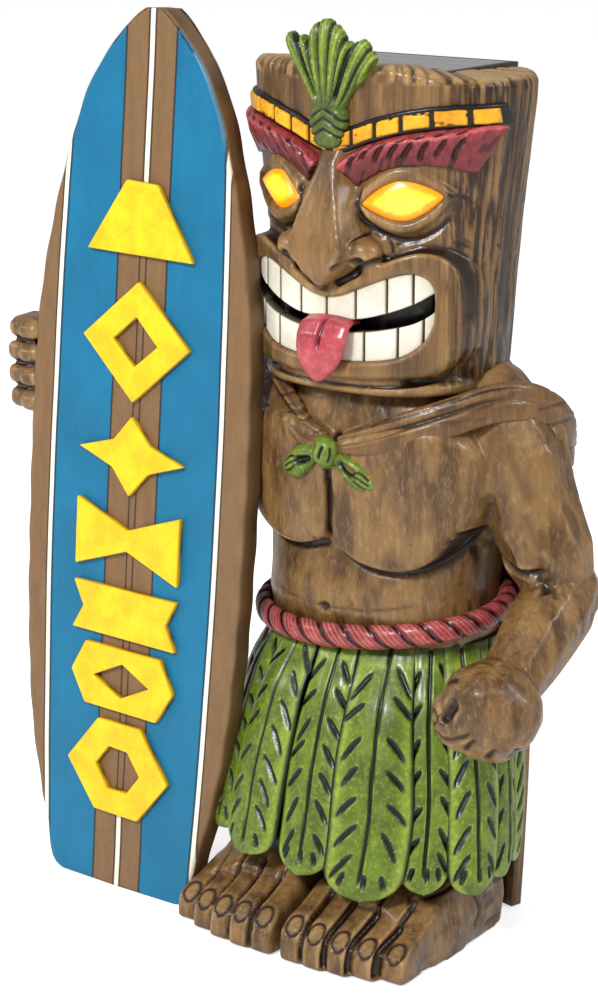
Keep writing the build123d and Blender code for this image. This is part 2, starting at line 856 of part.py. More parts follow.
collar_outline = [
    (0, -collar_knot_drop - collar_width / 2), (shoulder_half_width + 6, -collar_side_drop - collar_width),
    (shoulder_half_width + 6, -collar_side_drop), (0, -collar_knot_drop + collar_width / 2),
    (-shoulder_half_width - 6, -collar_side_drop), (-shoulder_half_width - 6, -collar_side_drop - collar_width),
]
with BuildPart() as cape_collar:
    add(carve(torso_form(collar_proud), collar_outline, 0))
    for piece in (torso_shell.part, torso_form(0), left_arm.part, right_arm.part, cape.part,
                  head_shell.part, surfboard.part):
        add(piece, mode=Mode.SUBTRACT)

bow_height = chin_height - collar_knot_drop - 2
with BuildPart() as bow_knot:
    with Locations((0, -bow_forward + knot_radius - 2, bow_height)):
        Sphere(knot_radius)
    for piece in (torso_shell.part, torso_form(0), cape_collar.part):
        add(piece, mode=Mode.SUBTRACT)


def bow_leaf(side):
    """One pointed leaf of the bow, hanging out and down from the knot."""
    plane = Plane(origin=(side * (knot_radius + bow_leaf_length / 2 - 1.5), -bow_forward,
                          bow_height - 5), x_dir=(side * 0.85, 0, -0.45), z_dir=(0, -1, 0))
    with BuildPart() as leaf:
        with BuildSketch(plane.offset(-bow_leaf_thickness)):
            add(almond(bow_leaf_length, bow_leaf_width))
        extrude(amount=2 * bow_leaf_thickness)
        for piece in (torso_shell.part, torso_form(0), cape_collar.part, bow_knot.part, surfboard.part):
            add(piece, mode=Mode.SUBTRACT)
    return leaf


bow_leaf_left = bow_leaf(1)
bow_leaf_right = bow_leaf(-1)

# ---------------------------------------------------------------- battery box and cover
bay_start = bay_shift - bay_length / 2
bay_end = bay_shift + bay_length / 2
screw_spots = [(bay_shift, -base_forward + screw_side), (bay_shift, -base_forward - screw_side)]
switch_spot = (switch_side, -base_forward)

with BuildPart() as battery_box:
    with BuildSketch(Plane.XY.offset(plate_height - box_plate)):
        with Locations((0, -base_forward)):
            RectangleRounded(2 * (inner_half_width + plate_lip - plate_fit),
                             2 * (inner_half_depth + plate_lip - plate_fit),
                             base_corner - base_wall + plate_lip - plate_fit)
    extrude(amount=box_plate)
    with BuildSketch(Plane.XY.offset(plate_height)):
        with Locations((bay_shift, -base_forward)):
            Rectangle(bay_length + 2 * box_wall, bay_width + 2 * box_wall)
    extrude(amount=box_top - plate_height)
    with BuildSketch(Plane.XY.offset(plate_height)):
        with Locations(*screw_spots):
            Circle(boss_radius)
    extrude(amount=screw_length)
    with BuildSketch(Plane.XY.offset(plate_height - box_plate)):
        with Locations((bay_shift, -base_forward)):
            Rectangle(bay_length, bay_width)
    extrude(amount=bay_top - plate_height + box_plate, mode=Mode.SUBTRACT)
    with BuildSketch(Plane.XY.offset(plate_height - box_plate)):
        with Locations(*screw_spots):
            Circle(screw_radius)
    extrude(amount=screw_length, mode=Mode.SUBTRACT)
    with BuildSketch(Plane.XY.offset(plate_height - box_plate)):
        with Locations(switch_spot):
            Rectangle(knob_size + 2 * knob_fit, knob_size + knob_travel + 2 * knob_fit)
    extrude(amount=box_plate, mode=Mode.SUBTRACT)

with BuildPart() as battery:
    with BuildSketch(Plane(origin=(bay_end - contact_thickness - 1.5 - battery_length, -base_forward,
                                   battery_height), x_dir=(0, 1, 0), z_dir=(1, 0, 0))):
        Circle(battery_radius)
    extrude(amount=battery_length)
    fillet(edges(), 0.6)
    with BuildSketch(Plane(origin=(bay_end - contact_thickness - 1.5, -base_forward, battery_height),
                           x_dir=(0, 1, 0), z_dir=(1, 0, 0))):
        Circle(2.75)
    extrude(amount=1.5)

with BuildPart() as contact_plate:
    with BuildSketch(Plane(origin=(bay_end - contact_thickness, -base_forward, battery_height),
                           x_dir=(0, 1, 0), z_dir=(1, 0, 0))):
        Rectangle(contact_size, contact_size)
    extrude(amount=contact_thickness)

spring_room = contact_room - 1.5 - contact_thickness
with BuildPart() as contact_spring:
    with BuildSketch(Plane(origin=(bay_start, -base_forward - contact_size / 2, battery_height),
                           x_dir=(1, 0, 0), z_dir=(0, -1, 0)).offset(-contact_size)):
        with BuildLine():
            Polyline((0, -5.5), (contact_thickness, -5.5), (contact_thickness, 4.2), (spring_room - 0.45, 0.2),
                     (spring_room, 0.4), (contact_thickness + 0.1, 5.5), (0, 5.5), close=True)
        make_face()
    extrude(amount=contact_size)

with BuildPart() as battery_cover:
    with BuildSketch(Plane.XY.offset(plate_height - box_plate - cover_thickness)):
        with Locations((bay_shift, -base_forward)):
            RectangleRounded(bay_length + 2 * cover_margin, cover_depth, 3)
    extrude(amount=cover_thickness)
    with BuildSketch(Plane.XY.offset(plate_height - box_plate - cover_thickness)):
        with Locations(*screw_spots):
            Circle(screw_radius)
    extrude(amount=cover_thickness, mode=Mode.SUBTRACT)
    with BuildSketch(Plane.XY.offset(plate_height - box_plate - cover_thickness)):
        with Locations(*screw_spots):
            Circle(screw_head_radius + 0.2)
    extrude(amount=screw_head_height, mode=Mode.SUBTRACT)

screw_face = plate_height - box_plate - cover_thickness
with BuildPart() as cover_screws:
    with BuildSketch(Plane.XY.offset(screw_face)):
        with Locations(*screw_spots):
            Circle(screw_head_radius)
    extrude(amount=screw_head_height)
    with BuildSketch(Plane.XY.offset(screw_face)):
        with Locations(*screw_spots):
            Circle(screw_radius - 0.1)
    extrude(amount=screw_length)
    with BuildSketch(Plane.XY.offset(screw_face)):
        with Locations(*screw_spots):
            Rectangle(2.4, 0.5)
            Rectangle(0.5, 2.4)
    extrude(amount=screw_head_height / 2, mode=Mode.SUBTRACT)

# ---------------------------------------------------------------- slide switch
knob_start = (switch_side, -base_forward - knob_travel / 2)
with BuildPart() as switch_body:
    with BuildSketch(Plane.XY.offset(plate_height)):
        with Locations(switch_spot):
            Rectangle(switch_width, switch_length)
    extrude(amount=switch_height)
    with BuildSketch(Plane.XY.offset(plate_height)):
        with Locations(switch_spot):
            Rectangle(switch_width - 2 * switch_wall, switch_length - 2 * switch_wall)
    extrude(amount=knob_foot + 2 * knob_fit, mode=Mode.SUBTRACT)

with BuildPart() as switch_knob:
    with BuildSketch(Plane.XY.offset(plate_height - box_plate - knob_drop)):
        with Locations(knob_start):
            Rectangle(knob_size, knob_size)
    extrude(amount=box_plate + knob_drop + knob_fit + knob_foot)
    with BuildSketch(Plane.XY.offset(plate_height + knob_fit)):
        with Locations(knob_start):
            Rectangle(knob_size + 0.6, knob_size + 1.2)
    extrude(amount=knob_foot)

# ---------------------------------------------------------------- circuit board
circuit_height = box_top + circuit_lift
with BuildPart() as circuit_board:
    with BuildSketch(Plane.XY.offset(circuit_height)):
        with Locations((bay_shift, -base_forward)):
            Rectangle(circuit_length, circuit_width)
    extrude(amount=circuit_thickness)
    with BuildSketch(Plane.XY.offset(circuit_height + circuit_thickness)):
        with Locations((bay_shift - 6, -base_forward)):
            Rectangle(8, 6)
        with Locations((bay_shift + 7, -base_forward + 3)):
            Circle(3.2)
    extrude(amount=chip_height)
    with BuildSketch(Plane.XY.offset(box_top)):
        with Locations((bay_shift - circuit_length / 2 + 4, -base_forward),
                       (bay_shift + circuit_length / 2 - 4, -base_forward)):
            Circle(2)
    extrude(amount=circuit_lift)


# ---------------------------------------------------------------- wires
def wire(points):
    """A thin lead along points, with bends as large as its runs allow."""
    spots = [Vector(*point) for point in points]
    radii = []
    for before, corner, after in zip(spots, spots[1:], spots[2:]):
        run = min((corner - before).length, (after - corner).length)
        turn = radians((corner - before).get_angle(after - corner))
        radii.append(0.45 * run / tan(turn / 2))
    with BuildPart() as lead:
        with BuildLine() as route:
            FilletPolyline(*spots, radius=radii)
        path = route.wire()
        with BuildSketch(Plane(origin=path @ 0, z_dir=path % 0)):
            Circle(wire_diameter / 2)
        sweep(path=path)
    length = path.length
    print(f"wire {length:.0f} mm, radii", [round(r) for r in radii],
          f"volume ratio {lead.part.volume / (length * pi * wire_diameter ** 2 / 4):.4f}")
    return lead


board_top = circuit_height + circuit_thickness
solar_wire = wire([
    (0, tray_set_back, crown_pocket_height + 2), (0.5, tray_set_back + 0.5, crown_pocket_height - 28),
    (2, 6, chin_height + 38), (0, 3, chin_height), (-2, 5, waist_height + 46),
    (0, 3, waist_height), (-3, -1, board_top + 32), (bay_shift + 2, -base_forward + 7, board_top),
])


def lamp_wire(side):
    """The lead from one lamp, down through the neck to the circuit board."""
    depth = lens_set_back + lens_thickness + holder_length + 1.0
    out = eye_plane(side).z_dir
    start = eye_plane(side).origin - out * depth
    return wire([
        tuple(start), tuple(start - out * 9 + Vector(0, 0, -3)),
        tuple(start - out * 14 + Vector(0, 0, -22)), (side * 7, -3, chin_height + 20),
        (side * 5, -3, chin_height - 20), (side * 7, -4, waist_height + 30), (side * 5, -5, waist_height - 10),
        (side * 8, -5, board_top + 22), (bay_shift + side * 12, -base_forward - 7, board_top),
    ])


led_wire_left = lamp_wire(1)
led_wire_right = lamp_wire(-1)

# ---------------------------------------------------------------- export
pieces = {
    "head_shell": head_shell, "torso_shell": torso_shell, "lower_body": lower_body,
    "left_arm": left_arm, "right_arm": right_arm, "left_foot": left_foot, "right_foot": right_foot,
    "leaf_skirt": leaf_skirt, "waist_rope": waist_rope, "cape": cape, "cape_collar": cape_collar,
    "bow_knot": bow_knot, "bow_leaf_left": bow_leaf_left, "bow_leaf_right": bow_leaf_right,
    "leaf_crest": leaf_crest, "crest_binding": crest_binding, "head_band": head_band,
    "band_beads": band_beads, "brow_left": brow_left, "brow_right": brow_right,
    "eye_lens_left": eye_lens_left, "eye_lens_right": eye_lens_right, "upper_teeth": upper_teeth,
    "lower_teeth": lower_teeth, "tongue": tongue, "surfboard": surfboard, "motif_1": motif_1,
    "motif_2": motif_2, "motif_3": motif_3, "motif_4": motif_4, "motif_5": motif_5,
    "motif_6": motif_6, "motif_7": motif_7, "solar_tray": solar_tray, "solar_panel": solar_panel,
    "led_left": led_left, "led_right": led_right, "led_holder_left": led_holder_left,
    "led_holder_right": led_holder_right, "circuit_board": circuit_board, "battery_box": battery_box,
    "battery": battery, "contact_plate": contact_plate, "contact_spring": contact_spring,
    "battery_cover": battery_cover, "cover_screws": cover_screws, "switch_body": switch_body,
    "switch_knob": switch_knob, "solar_wire": solar_wire, "led_wire_left": led_wire_left,
    "led_wire_right": led_wire_right,
}

whole = Compound([piece.part for piece in pieces.values()]).bounding_box()
shift = Vector(-(whole.min.X + whole.max.X) / 2, -(whole.min.Y + whole.max.Y) / 2, -whole.min.Z)
print("size", whole.size, "shift", shift)

os.makedirs("parts", exist_ok=True)
for name, piece in pieces.items():
    piece.part.position = shift
    piece.part.label = name
    export_step(piece.part, f"parts/{name}.step")
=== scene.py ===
from math import cos, pi, radians, sin, sqrt, tau

import bmesh
import bpy
import numpy as np
from mathutils import Matrix, Vector


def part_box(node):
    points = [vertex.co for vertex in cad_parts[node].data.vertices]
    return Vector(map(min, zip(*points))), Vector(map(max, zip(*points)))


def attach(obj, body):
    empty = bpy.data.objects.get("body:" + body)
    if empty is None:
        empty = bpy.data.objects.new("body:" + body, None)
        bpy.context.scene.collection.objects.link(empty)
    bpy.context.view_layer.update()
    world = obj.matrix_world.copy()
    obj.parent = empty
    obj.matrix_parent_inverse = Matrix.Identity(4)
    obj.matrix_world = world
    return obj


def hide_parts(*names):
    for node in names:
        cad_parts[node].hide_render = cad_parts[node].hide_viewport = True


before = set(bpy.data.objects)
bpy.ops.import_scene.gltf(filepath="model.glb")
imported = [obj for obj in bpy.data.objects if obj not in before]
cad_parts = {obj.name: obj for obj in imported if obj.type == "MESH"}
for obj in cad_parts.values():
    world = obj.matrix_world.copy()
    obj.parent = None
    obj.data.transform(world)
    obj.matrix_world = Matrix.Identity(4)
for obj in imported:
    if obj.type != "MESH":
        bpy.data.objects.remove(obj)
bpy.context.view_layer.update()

# ------------------------------------------------------------ places, worked out from the frame
# Shapes are written in millimetres about the figure's own centre line, ground at
# zero and face towards -Y, and every finished piece is moved to its real place.
MM = 0.001
head_low, head_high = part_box("head_shell")
BACK_OF_HEAD = 35.0
CENTRE = Vector(((head_low[0] + head_high[0]) / 2, head_high[1] - BACK_OF_HEAD * MM, 0))
CHIN = head_low[2] / MM
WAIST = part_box("torso_shell")[0][2] / MM
LOG_SET_FORWARD = 2.0
LOG_POWER = 2.15


# ------------------------------------------------------------ numbers and noise
def smooth(low, high, value):
    """0 below low, 1 above high and an even ease between, for numbers or arrays."""
    share = np.clip((value - low) / (high - low), 0, 1)
    return share * share * (3 - 2 * share)


def rounded(points, steps=6, closed=False):
    """A smooth run through given points, as an array."""
    spots = np.array(points, float)
    count = len(spots)
    ends = range(count if closed else count - 1)
    run = []
    for index in ends:
        if closed:
            before, start, end, after = (spots[(index + k) % count] for k in (-1, 0, 1, 2))
        else:
            before, start = spots[max(index - 1, 0)], spots[index]
            end, after = spots[index + 1], spots[min(index + 2, count - 1)]
        for step in range(steps):
            t = step / steps
            run.append(0.5 * (2 * start + (end - before) * t
                              + (2 * before - 5 * start + 4 * end - after) * t ** 2
                              + (3 * start - before - 3 * end + after) * t ** 3))
    if not closed:
        run.append(spots[-1])
    return np.array(run)


def reach(points, path, closed=False):
    """Distance from each point to a path, and the share of its length at the nearest place."""
    path = np.asarray(path, float)
    if closed:
        path = np.vstack([path, path[:1]])
    lengths = np.linalg.norm(np.diff(path, axis=0), axis=1)
    starts = np.concatenate([[0], np.cumsum(lengths)])
    best = np.full(len(points), 1e9)
    along = np.zeros(len(points))
    for index, length in enumerate(lengths):
        if length < 1e-9:
            continue
        a = path[index]
        run = path[index + 1] - a
        share = np.clip((points - a) @ run / (run @ run), 0, 1)
        gap = np.linalg.norm(points - a - share[:, None] * run, axis=1)
        nearer = gap < best
        best[nearer] = gap[nearer]
        along[nearer] = (starts[index] + share[nearer] * length) / starts[-1]
    return best, along


def depth_inside(points, outline):
    """Signed distance to a closed outline in a plane: positive inside it."""
    gap, _ = reach(points, outline, closed=True)
    x, y = points[:, 0], points[:, 1]
    inside = np.zeros(len(points), bool)
    for (ax, ay), (bx, by) in zip(outline, np.roll(outline, -1, axis=0)):
        if ay != by:
            crossing = (ay > y) != (by > y)
            inside ^= crossing & (x < (bx - ax) * (y - ay) / (by - ay) + ax)
    return np.where(inside, gap, -gap)


LATTICE = np.random.default_rng(7).random((64, 64, 64))


def noise(points, scale):
    """Soft even noise from 0 to 1, with features about scale apart along each axis."""
    spot = np.asarray(points, float) / np.asarray(scale, float) + 17.3
    cell = np.floor(spot).astype(int)
    share = spot - cell
    share = share * share * (3 - 2 * share)
    total = np.zeros(len(spot))
    for corner in range(8):
        step = np.array([corner & 1, corner >> 1 & 1, corner >> 2 & 1])
        weight = np.prod(np.where(step, share, 1 - share), axis=1)
        place = (cell + step) % 64
        total += weight * LATTICE[place[:, 0], place[:, 1], place[:, 2]]
    return total


# ------------------------------------------------------------ making meshes
def solid(build):
    """A mesh from a function that fills a bmesh, its normals outward."""
    shape = bmesh.new()
    build(shape)
    bmesh.ops.recalc_face_normals(shape, faces=shape.faces)
    mesh = bpy.data.meshes.new("shape")
    shape.to_mesh(mesh)
    shape.free()
    return mesh


def applied(mesh, *settings):
    """The mesh after modifiers, each (kind, {setting: value})."""
    holder = bpy.data.objects.new("holder", mesh)
    bpy.context.scene.collection.objects.link(holder)
    for kind, values in settings:
        modifier = holder.modifiers.new(kind, kind)
        for name, value in values.items():
            setattr(modifier, name, value)
    result = bpy.data.meshes.new_from_object(holder.evaluated_get(bpy.context.evaluated_depsgraph_get()))
    bpy.data.objects.remove(holder)
    return result


def add_ball(shape, centre, radii, turn=None, detail=4):
    """An egg with three half sizes."""
    place = Matrix.Translation(centre) @ (turn or Matrix.Identity(4)) @ Matrix.Diagonal((*radii, 1))
    bmesh.ops.create_icosphere(shape, subdivisions=detail, radius=1, matrix=place)


def add_block(shape, centre, size, turn=None, bevel=0.0, segments=2):
    """A box with eased edges."""
    made = bmesh.ops.create_cube(shape, size=1)["verts"]
    place = Matrix.Translation(centre) @ (turn or Matrix.Identity(4)) @ Matrix.Diagonal((*size, 1))
    bmesh.ops.transform(shape, matrix=place, verts=made)
    if bevel > 0:
        edges = list({edge for vert in made for edge in vert.link_edges})
        bmesh.ops.bevel(shape, geom=edges, offset=bevel, offset_type="OFFSET", affect="EDGES",
                        segments=segments, profile=0.5, material=-1)


def add_rings(shape, rings, cap=True):
    """A skin over rings of points, joined in order and capped at both ends."""
    loops = []
    for ring in rings:
        verts = [shape.verts.new(point) for point in ring]
        loops.append([shape.edges.new((a, b)) for a, b in zip(verts, verts[1:] + verts[:1])])
    for lower, upper in zip(loops, loops[1:]):
        bmesh.ops.bridge_loops(shape, edges=lower + upper)
    if cap:
        for loop in (loops[0], loops[-1]):
            bmesh.ops.contextual_create(shape, geom=loop)


def oval(height, half_width, half_depth, centre_x=0.0, centre_y=0.0, count=48, power=2.0):
    """A level ring, squarer as the power goes up."""
    ring = []
    for step in range(count):
        angle = tau * step / count
        c, s = cos(angle), sin(angle)
        ring.append((centre_x + half_width * abs(c) ** (2 / power) * (1 if c > 0 else -1),
                     centre_y + half_depth * abs(s) ** (2 / power) * (1 if s > 0 else -1), height))
    return ring


def limb_rings(stations, count=10, roll=0.0):
    """Rings square to a path of (point, half width, half depth)."""
    points = [Vector(point) for point, _, _ in stations]
    rings = []
    for index, (_, width, depth) in enumerate(stations):
        along = points[min(index + 1, len(points) - 1)] - points[max(index - 1, 0)]
        side = along.cross(Vector((0, 1, 0))).normalized()
        out = along.cross(side).normalized()
        rings.append([
            points[index] + side * (width * cos(tau * k / count + roll))
            + out * (depth * sin(tau * k / count + roll))
            for k in range(count)
        ])
    return rings


def paint_layers(mesh, wash_and_shade, wear_and_highlight, black_shade):
    """Stores how much dark wash and painted shade, pale wear and painted highlight, and near-black painted
    shade each point carries.
    """
    for name, values in (("wash_and_shade", wash_and_shade), ("wear_and_highlight", wear_and_highlight), ("black_shade", black_shade)):
        layer = mesh.attributes.new(name, "FLOAT", "POINT")
        layer.data.foreach_set("value", np.clip(values, 0, 1))


class Clay:
    """A solid fused into one even skin, then pushed and cut by formulas."""

    def __init__(self, mesh, grain, relax=3):
        self.mesh = applied(mesh, ("REMESH", {"mode": "VOXEL", "voxel_size": grain, "adaptivity": 0.0}))
        self.read()
        self.relax(relax)

    def read(self):
        count = len(self.mesh.vertices)
        self.points = np.empty(count * 3)
        self.mesh.vertices.foreach_get("co", self.points)
        self.points = self.points.reshape(-1, 3)
        edges = np.empty(len(self.mesh.edges) * 2, int)
        self.mesh.edges.foreach_get("vertices", edges)
        self.edges = edges.reshape(-1, 2)
        self.degree = np.maximum(np.bincount(edges, minlength=count), 1)
        self.wash_and_shade = np.zeros(count)
        self.wear_and_highlight = np.zeros(count)
        self.black_shade = np.zeros(count)

    def store(self):
        self.mesh.vertices.foreach_set("co", self.points.ravel())
        self.mesh.update()

    def normals(self):
        self.store()
        facing = np.empty(len(self.points) * 3)
        self.mesh.vertices.foreach_get("normal", facing)
        return facing.reshape(-1, 3)

    def spread(self, values):
        """Each value replaced by the mean of its neighbours."""
        a, b = self.edges.T
        if values.ndim == 1:
            total = (np.bincount(a, values[b], len(values)) + np.bincount(b, values[a], len(values)))
            return total / self.degree
        return np.stack([self.spread(column) for column in values.T], axis=1)

    def relax(self, times, share=0.6):
        for _ in range(times):
            self.points += share * (self.spread(self.points) - self.points)

    def cut(self, gap, along, width, depth, where=1.0, taper=0.15, wash_and_shade=1.0):
        """A groove at gap from its line; it sinks the skin and holds the dark wash."""
        ends = smooth(0, taper, along) * smooth(0, taper, 1 - along) if taper else 1.0
        profile = np.clip(1 - gap / width, 0, 1) * ends * where
        self.sink = np.maximum(self.sink, depth * smooth(0, 1, profile))
        self.wash_and_shade = np.maximum(self.wash_and_shade, wash_and_shade * smooth(0.15, 0.9, profile))

    def begin(self):
        self.sink = np.zeros(len(self.points))

    def press(self):
        """Sinks the cuts made since begin along the skin's normals."""
        self.points -= self.normals() * self.sink[:, None]

    def weather(self, hollow=1.6, edge=1.6, passes=2):
        """Adds dark wash to hollows and pale wear to edges, from the skin's curvature."""
        facing = self.normals()
        mean = self.spread(self.points)
        bend = np.einsum("ij,ij->i", mean - self.points, facing)
        for _ in range(passes):
            bend = self.spread(bend)
        self.wash_and_shade = np.maximum(self.wash_and_shade, smooth(0.03, 0.22, bend * hollow))
        self.wear_and_highlight = np.maximum(self.wear_and_highlight, smooth(0.03, 0.2, -bend * edge))

    def finished(self):
        self.store()
        paint_layers(self.mesh, self.wash_and_shade, self.wear_and_highlight, self.black_shade)
        return self.mesh


def piece(name, mesh, material, body, slot, *nodes, shade=True):
    """A finished mesh in millimetres, put in its real place, with the nodes it stands in for hidden."""
    mesh.transform(Matrix.Translation(CENTRE) @ Matrix.Diagonal((MM, MM, MM, 1)))
    mesh.materials.clear()
    mesh.materials.append(material)
    for polygon in mesh.polygons:
        polygon.use_smooth = shade
    made = bpy.data.objects.new(name, mesh)
    bpy.context.scene.collection.objects.link(made)
    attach(made, body)
    if nodes:
        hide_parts(*nodes)
    return made


# ------------------------------------------------------------ finishes
def colour(red, green, blue):
    """A colour given as 0-255 display values, made linear."""
    return tuple(((v / 255 + 0.055) / 1.055) ** 2.4 if v > 10 else v / 255 / 12.92
                 for v in (red, green, blue)) + (1.0,)


class Finish:
    """A node material built up in short steps."""

    def __init__(self, name, rough=0.4, **constants):
        self.material = bpy.data.materials.new(name)
        self.material.use_nodes = True
        self.tree = self.material.node_tree
        self.shader = self.tree.nodes["Principled BSDF"]
        self.shader.inputs["Roughness"].default_value = rough
        for socket, value in constants.items():
            self.shader.inputs[socket.replace("_", " ")].default_value = value
        self.place = self.node("ShaderNodeTexCoord").outputs["Object"]

    def node(self, kind, **settings):
        made = self.tree.nodes.new(kind)
        for name, value in settings.items():
            setattr(made, name, value)
        return made

    def link(self, source, target):
        self.tree.links.new(source, target)

    def attribute(self, name):
        return self.node("ShaderNodeAttribute", attribute_name=name).outputs["Fac"]

    def mapped(self, scale=(1, 1, 1), turn=(0, 0, 0), shift=(0, 0, 0)):
        mapping = self.node("ShaderNodeMapping")
        mapping.inputs["Scale"].default_value = scale
        mapping.inputs["Rotation"].default_value = turn
        mapping.inputs["Location"].default_value = shift
        self.link(self.place, mapping.inputs["Vector"])
        return mapping.outputs["Vector"]

    def noise(self, size, detail=4.0, rough=0.55, stretch=(1, 1, 1), distortion=0.0):
        """Noise whose features are about size millimetres across."""
        made = self.node("ShaderNodeTexNoise")
        made.inputs["Scale"].default_value = 1000 / size
        made.inputs["Detail"].default_value = detail
        made.inputs["Roughness"].default_value = rough
        made.inputs["Distortion"].default_value = distortion
        self.link(self.mapped(stretch), made.inputs["Vector"])
        return made.outputs["Fac"]

    def ramp(self, value, *stops):
        """A run of greys or colours against a value: (place, grey or colour) stops."""
        made = self.node("ShaderNodeValToRGB")
        while len(made.color_ramp.elements) < len(stops):
            made.color_ramp.elements.new(0.5)
        for element, (place, shade) in zip(made.color_ramp.elements, stops):
            element.position = place
            element.color = shade if isinstance(shade, tuple) else (shade, shade, shade, 1)
        self.link(value, made.inputs["Fac"])
        return made.outputs["Color"]

    def maths(self, operation, a, b=0.0):
        made = self.node("ShaderNodeMath", operation=operation, use_clamp=True)
        for socket, value in zip(made.inputs, (a, b)):
            if isinstance(value, (int, float)):
                socket.default_value = value
            else:
                self.link(value, socket)
        return made.outputs["Value"]

    def mix(self, share, a, b, blend="MIX"):
        made = self.node("ShaderNodeMix", data_type="RGBA", blend_type=blend)
        for name, value in (("Factor", share), ("A", a), ("B", b)):
            socket = [s for s in made.inputs if s.name == name and s.enabled][0]
            if isinstance(value, (int, float, tuple)):
                socket.default_value = value
            else:
                self.link(value, socket)
        return [s for s in made.outputs if s.enabled][0]

    def paint(self, shade):
        self.link(shade, self.shader.inputs["Base Color"])

    def gloss(self, value):
        self.link(value, self.shader.inputs["Roughness"])

    def bump(self, height, depth, strength=1.0):
        """Relief of depth millimetres where height runs from 0 to 1."""
        made = self.node("ShaderNodeBump")
        made.inputs["Distance"].default_value = depth * MM
        made.inputs["Strength"].default_value = strength
        self.link(height, made.inputs["Height"])
        self.link(made.outputs["Normal"], self.shader.inputs["Normal"])


def hand_painted(name, base, deep, pale, streak=(1, 1, 1), speck=0.5, rough=(0.26, 0.46), mottled=0.5,
                 worn_share=0.8, bump=0.12):
    """Paint brushed over cast resin: dark wash in the cuts, pale colour dragged over the edges, with painted
    shade and painted highlight carried in the same layers.
    """
    finish = Finish(name, Coat_Weight=0.2, Coat_Roughness=0.18, Specular_IOR_Level=0.35)
    cloud = finish.noise(9, detail=5, stretch=streak)
    brush = finish.noise(1.6, detail=6, rough=0.7, stretch=streak)
    grime = finish.noise(4, detail=8, rough=0.75)
    shade = finish.mix(finish.ramp(cloud, (0.4, 0.0), (0.62, mottled)), base, deep)
    shade = finish.mix(finish.ramp(brush, (0.5, 0.0), (0.76, 0.45)), shade, pale)
    # the wear layer lightens real dry-brushed edges and painted highlights alike
    wear_and_highlight = finish.maths("MULTIPLY", finish.attribute("wear_and_highlight"),
                        finish.ramp(brush, (0.3, 0.35), (0.62, worn_share)))
    shade = finish.mix(wear_and_highlight, shade, pale)
    # the wash layer darkens real wash in the cuts and painted shade in recesses and near the floor alike
    wash_and_shade = finish.attribute("wash_and_shade")
    ragged = finish.maths("ADD", wash_and_shade,
                          finish.maths("MULTIPLY", wash_and_shade, finish.ramp(grime, (0.35, 0.0), (0.7, 0.6))))
    shade = finish.mix(ragged, shade, deep)
    black = finish.maths("MULTIPLY", finish.ramp(wash_and_shade, (0.45, 0.0), (0.95, 0.85)),
                         finish.ramp(grime, (0.25, 0.75), (0.6, 1.0)))
    shade = finish.mix(black, shade, tuple(0.22 * v for v in deep[:3]) + (1,))
    specks = finish.ramp(finish.noise(1.1, detail=2, rough=0.5), (0.67, 0.0), (0.72, speck))
    patches = finish.ramp(finish.noise(22, detail=2), (0.45, 0.0), (0.62, 1.0))
    shade = finish.mix(finish.maths("MULTIPLY", specks, patches), shade,
                       tuple(0.3 * v for v in deep[:3]) + (1,))
    # near-black painted shade in holes, on set-back faces and at the feet of raised pieces
    shade = finish.mix(finish.attribute("black_shade"), shade, (0.006, 0.004, 0.003, 1))
    finish.paint(shade)
    finish.gloss(finish.ramp(grime, (0.3, rough[0]), (0.7, rough[1])))
    finish.bump(brush, bump)
    return finish.material


CARVED_BROWN = hand_painted("carved_brown_paint", colour(130, 97, 56), colour(60, 36, 18),
                            colour(186, 152, 102),
                            streak=(1, 1, 0.35), mottled=0.8, speck=0.6)
LOG_BROWN = hand_painted("log_brown_paint", colour(134, 100, 58), colour(56, 33, 16), colour(186, 150, 98),
                         streak=(1, 1, 0.07), mottled=0.75)
BROW_RED = hand_painted("brow_red_paint", colour(150, 48, 54), colour(70, 16, 20), colour(214, 110, 112))
LEAF_GREEN = hand_painted("leaf_green_paint", colour(100, 122, 32), colour(26, 38, 18), colour(180, 200, 76))
BEAD_AMBER = hand_painted("bead_amber_paint", colour(240, 176, 26), colour(170, 92, 8), colour(252, 214, 60))
BAND_BLACK = hand_painted("band_black_paint", colour(36, 24, 14), colour(16, 10, 6), colour(70, 50, 30))
TEETH_IVORY = hand_painted("teeth_ivory_paint", colour(234, 230, 216), colour(190, 178, 150),
                           colour(248, 246, 238),
                           speck=0.0, mottled=0.35, rough=(0.2, 0.32), bump=0.03)
ROPE_RED = hand_painted("rope_red_paint", colour(152, 54, 54), colour(54, 12, 14), colour(222, 128, 122),
                        speck=0.2)
CAPE_BROWN = hand_painted("cape_brown_paint", colour(116, 84, 48), colour(50, 28, 13), colour(166, 128, 80),
                          streak=(1, 1, 0.25))
TONGUE_PINK = hand_painted("tongue_pink_paint", colour(182, 74, 82), colour(122, 32, 42),
                           colour(232, 140, 142),
                           speck=0.0, rough=(0.16, 0.3), bump=0.03)


def eye_glow():
    """Translucent amber lit from behind: yellow in the middle, orange round the edge."""
    finish = Finish("eye_glow_amber", rough=0.25, Coat_Weight=0.5, Coat_Roughness=0.1)
    edge = finish.attribute("wash_and_shade")
    cloud = finish.noise(5, detail=3)
    share = finish.maths("ADD", edge, finish.ramp(cloud, (0.3, 0.0), (0.75, 0.35)))
    shade = finish.ramp(share, (0.0, colour(255, 226, 72)), (0.7, colour(253, 200, 26)),
                        (1.0, colour(246, 150, 8)))
    finish.paint(shade)
    finish.link(shade, finish.shader.inputs["Emission Color"])
    finish.shader.inputs["Emission Strength"].default_value = 0.42
    return finish.material


EYE_GLOW = eye_glow()


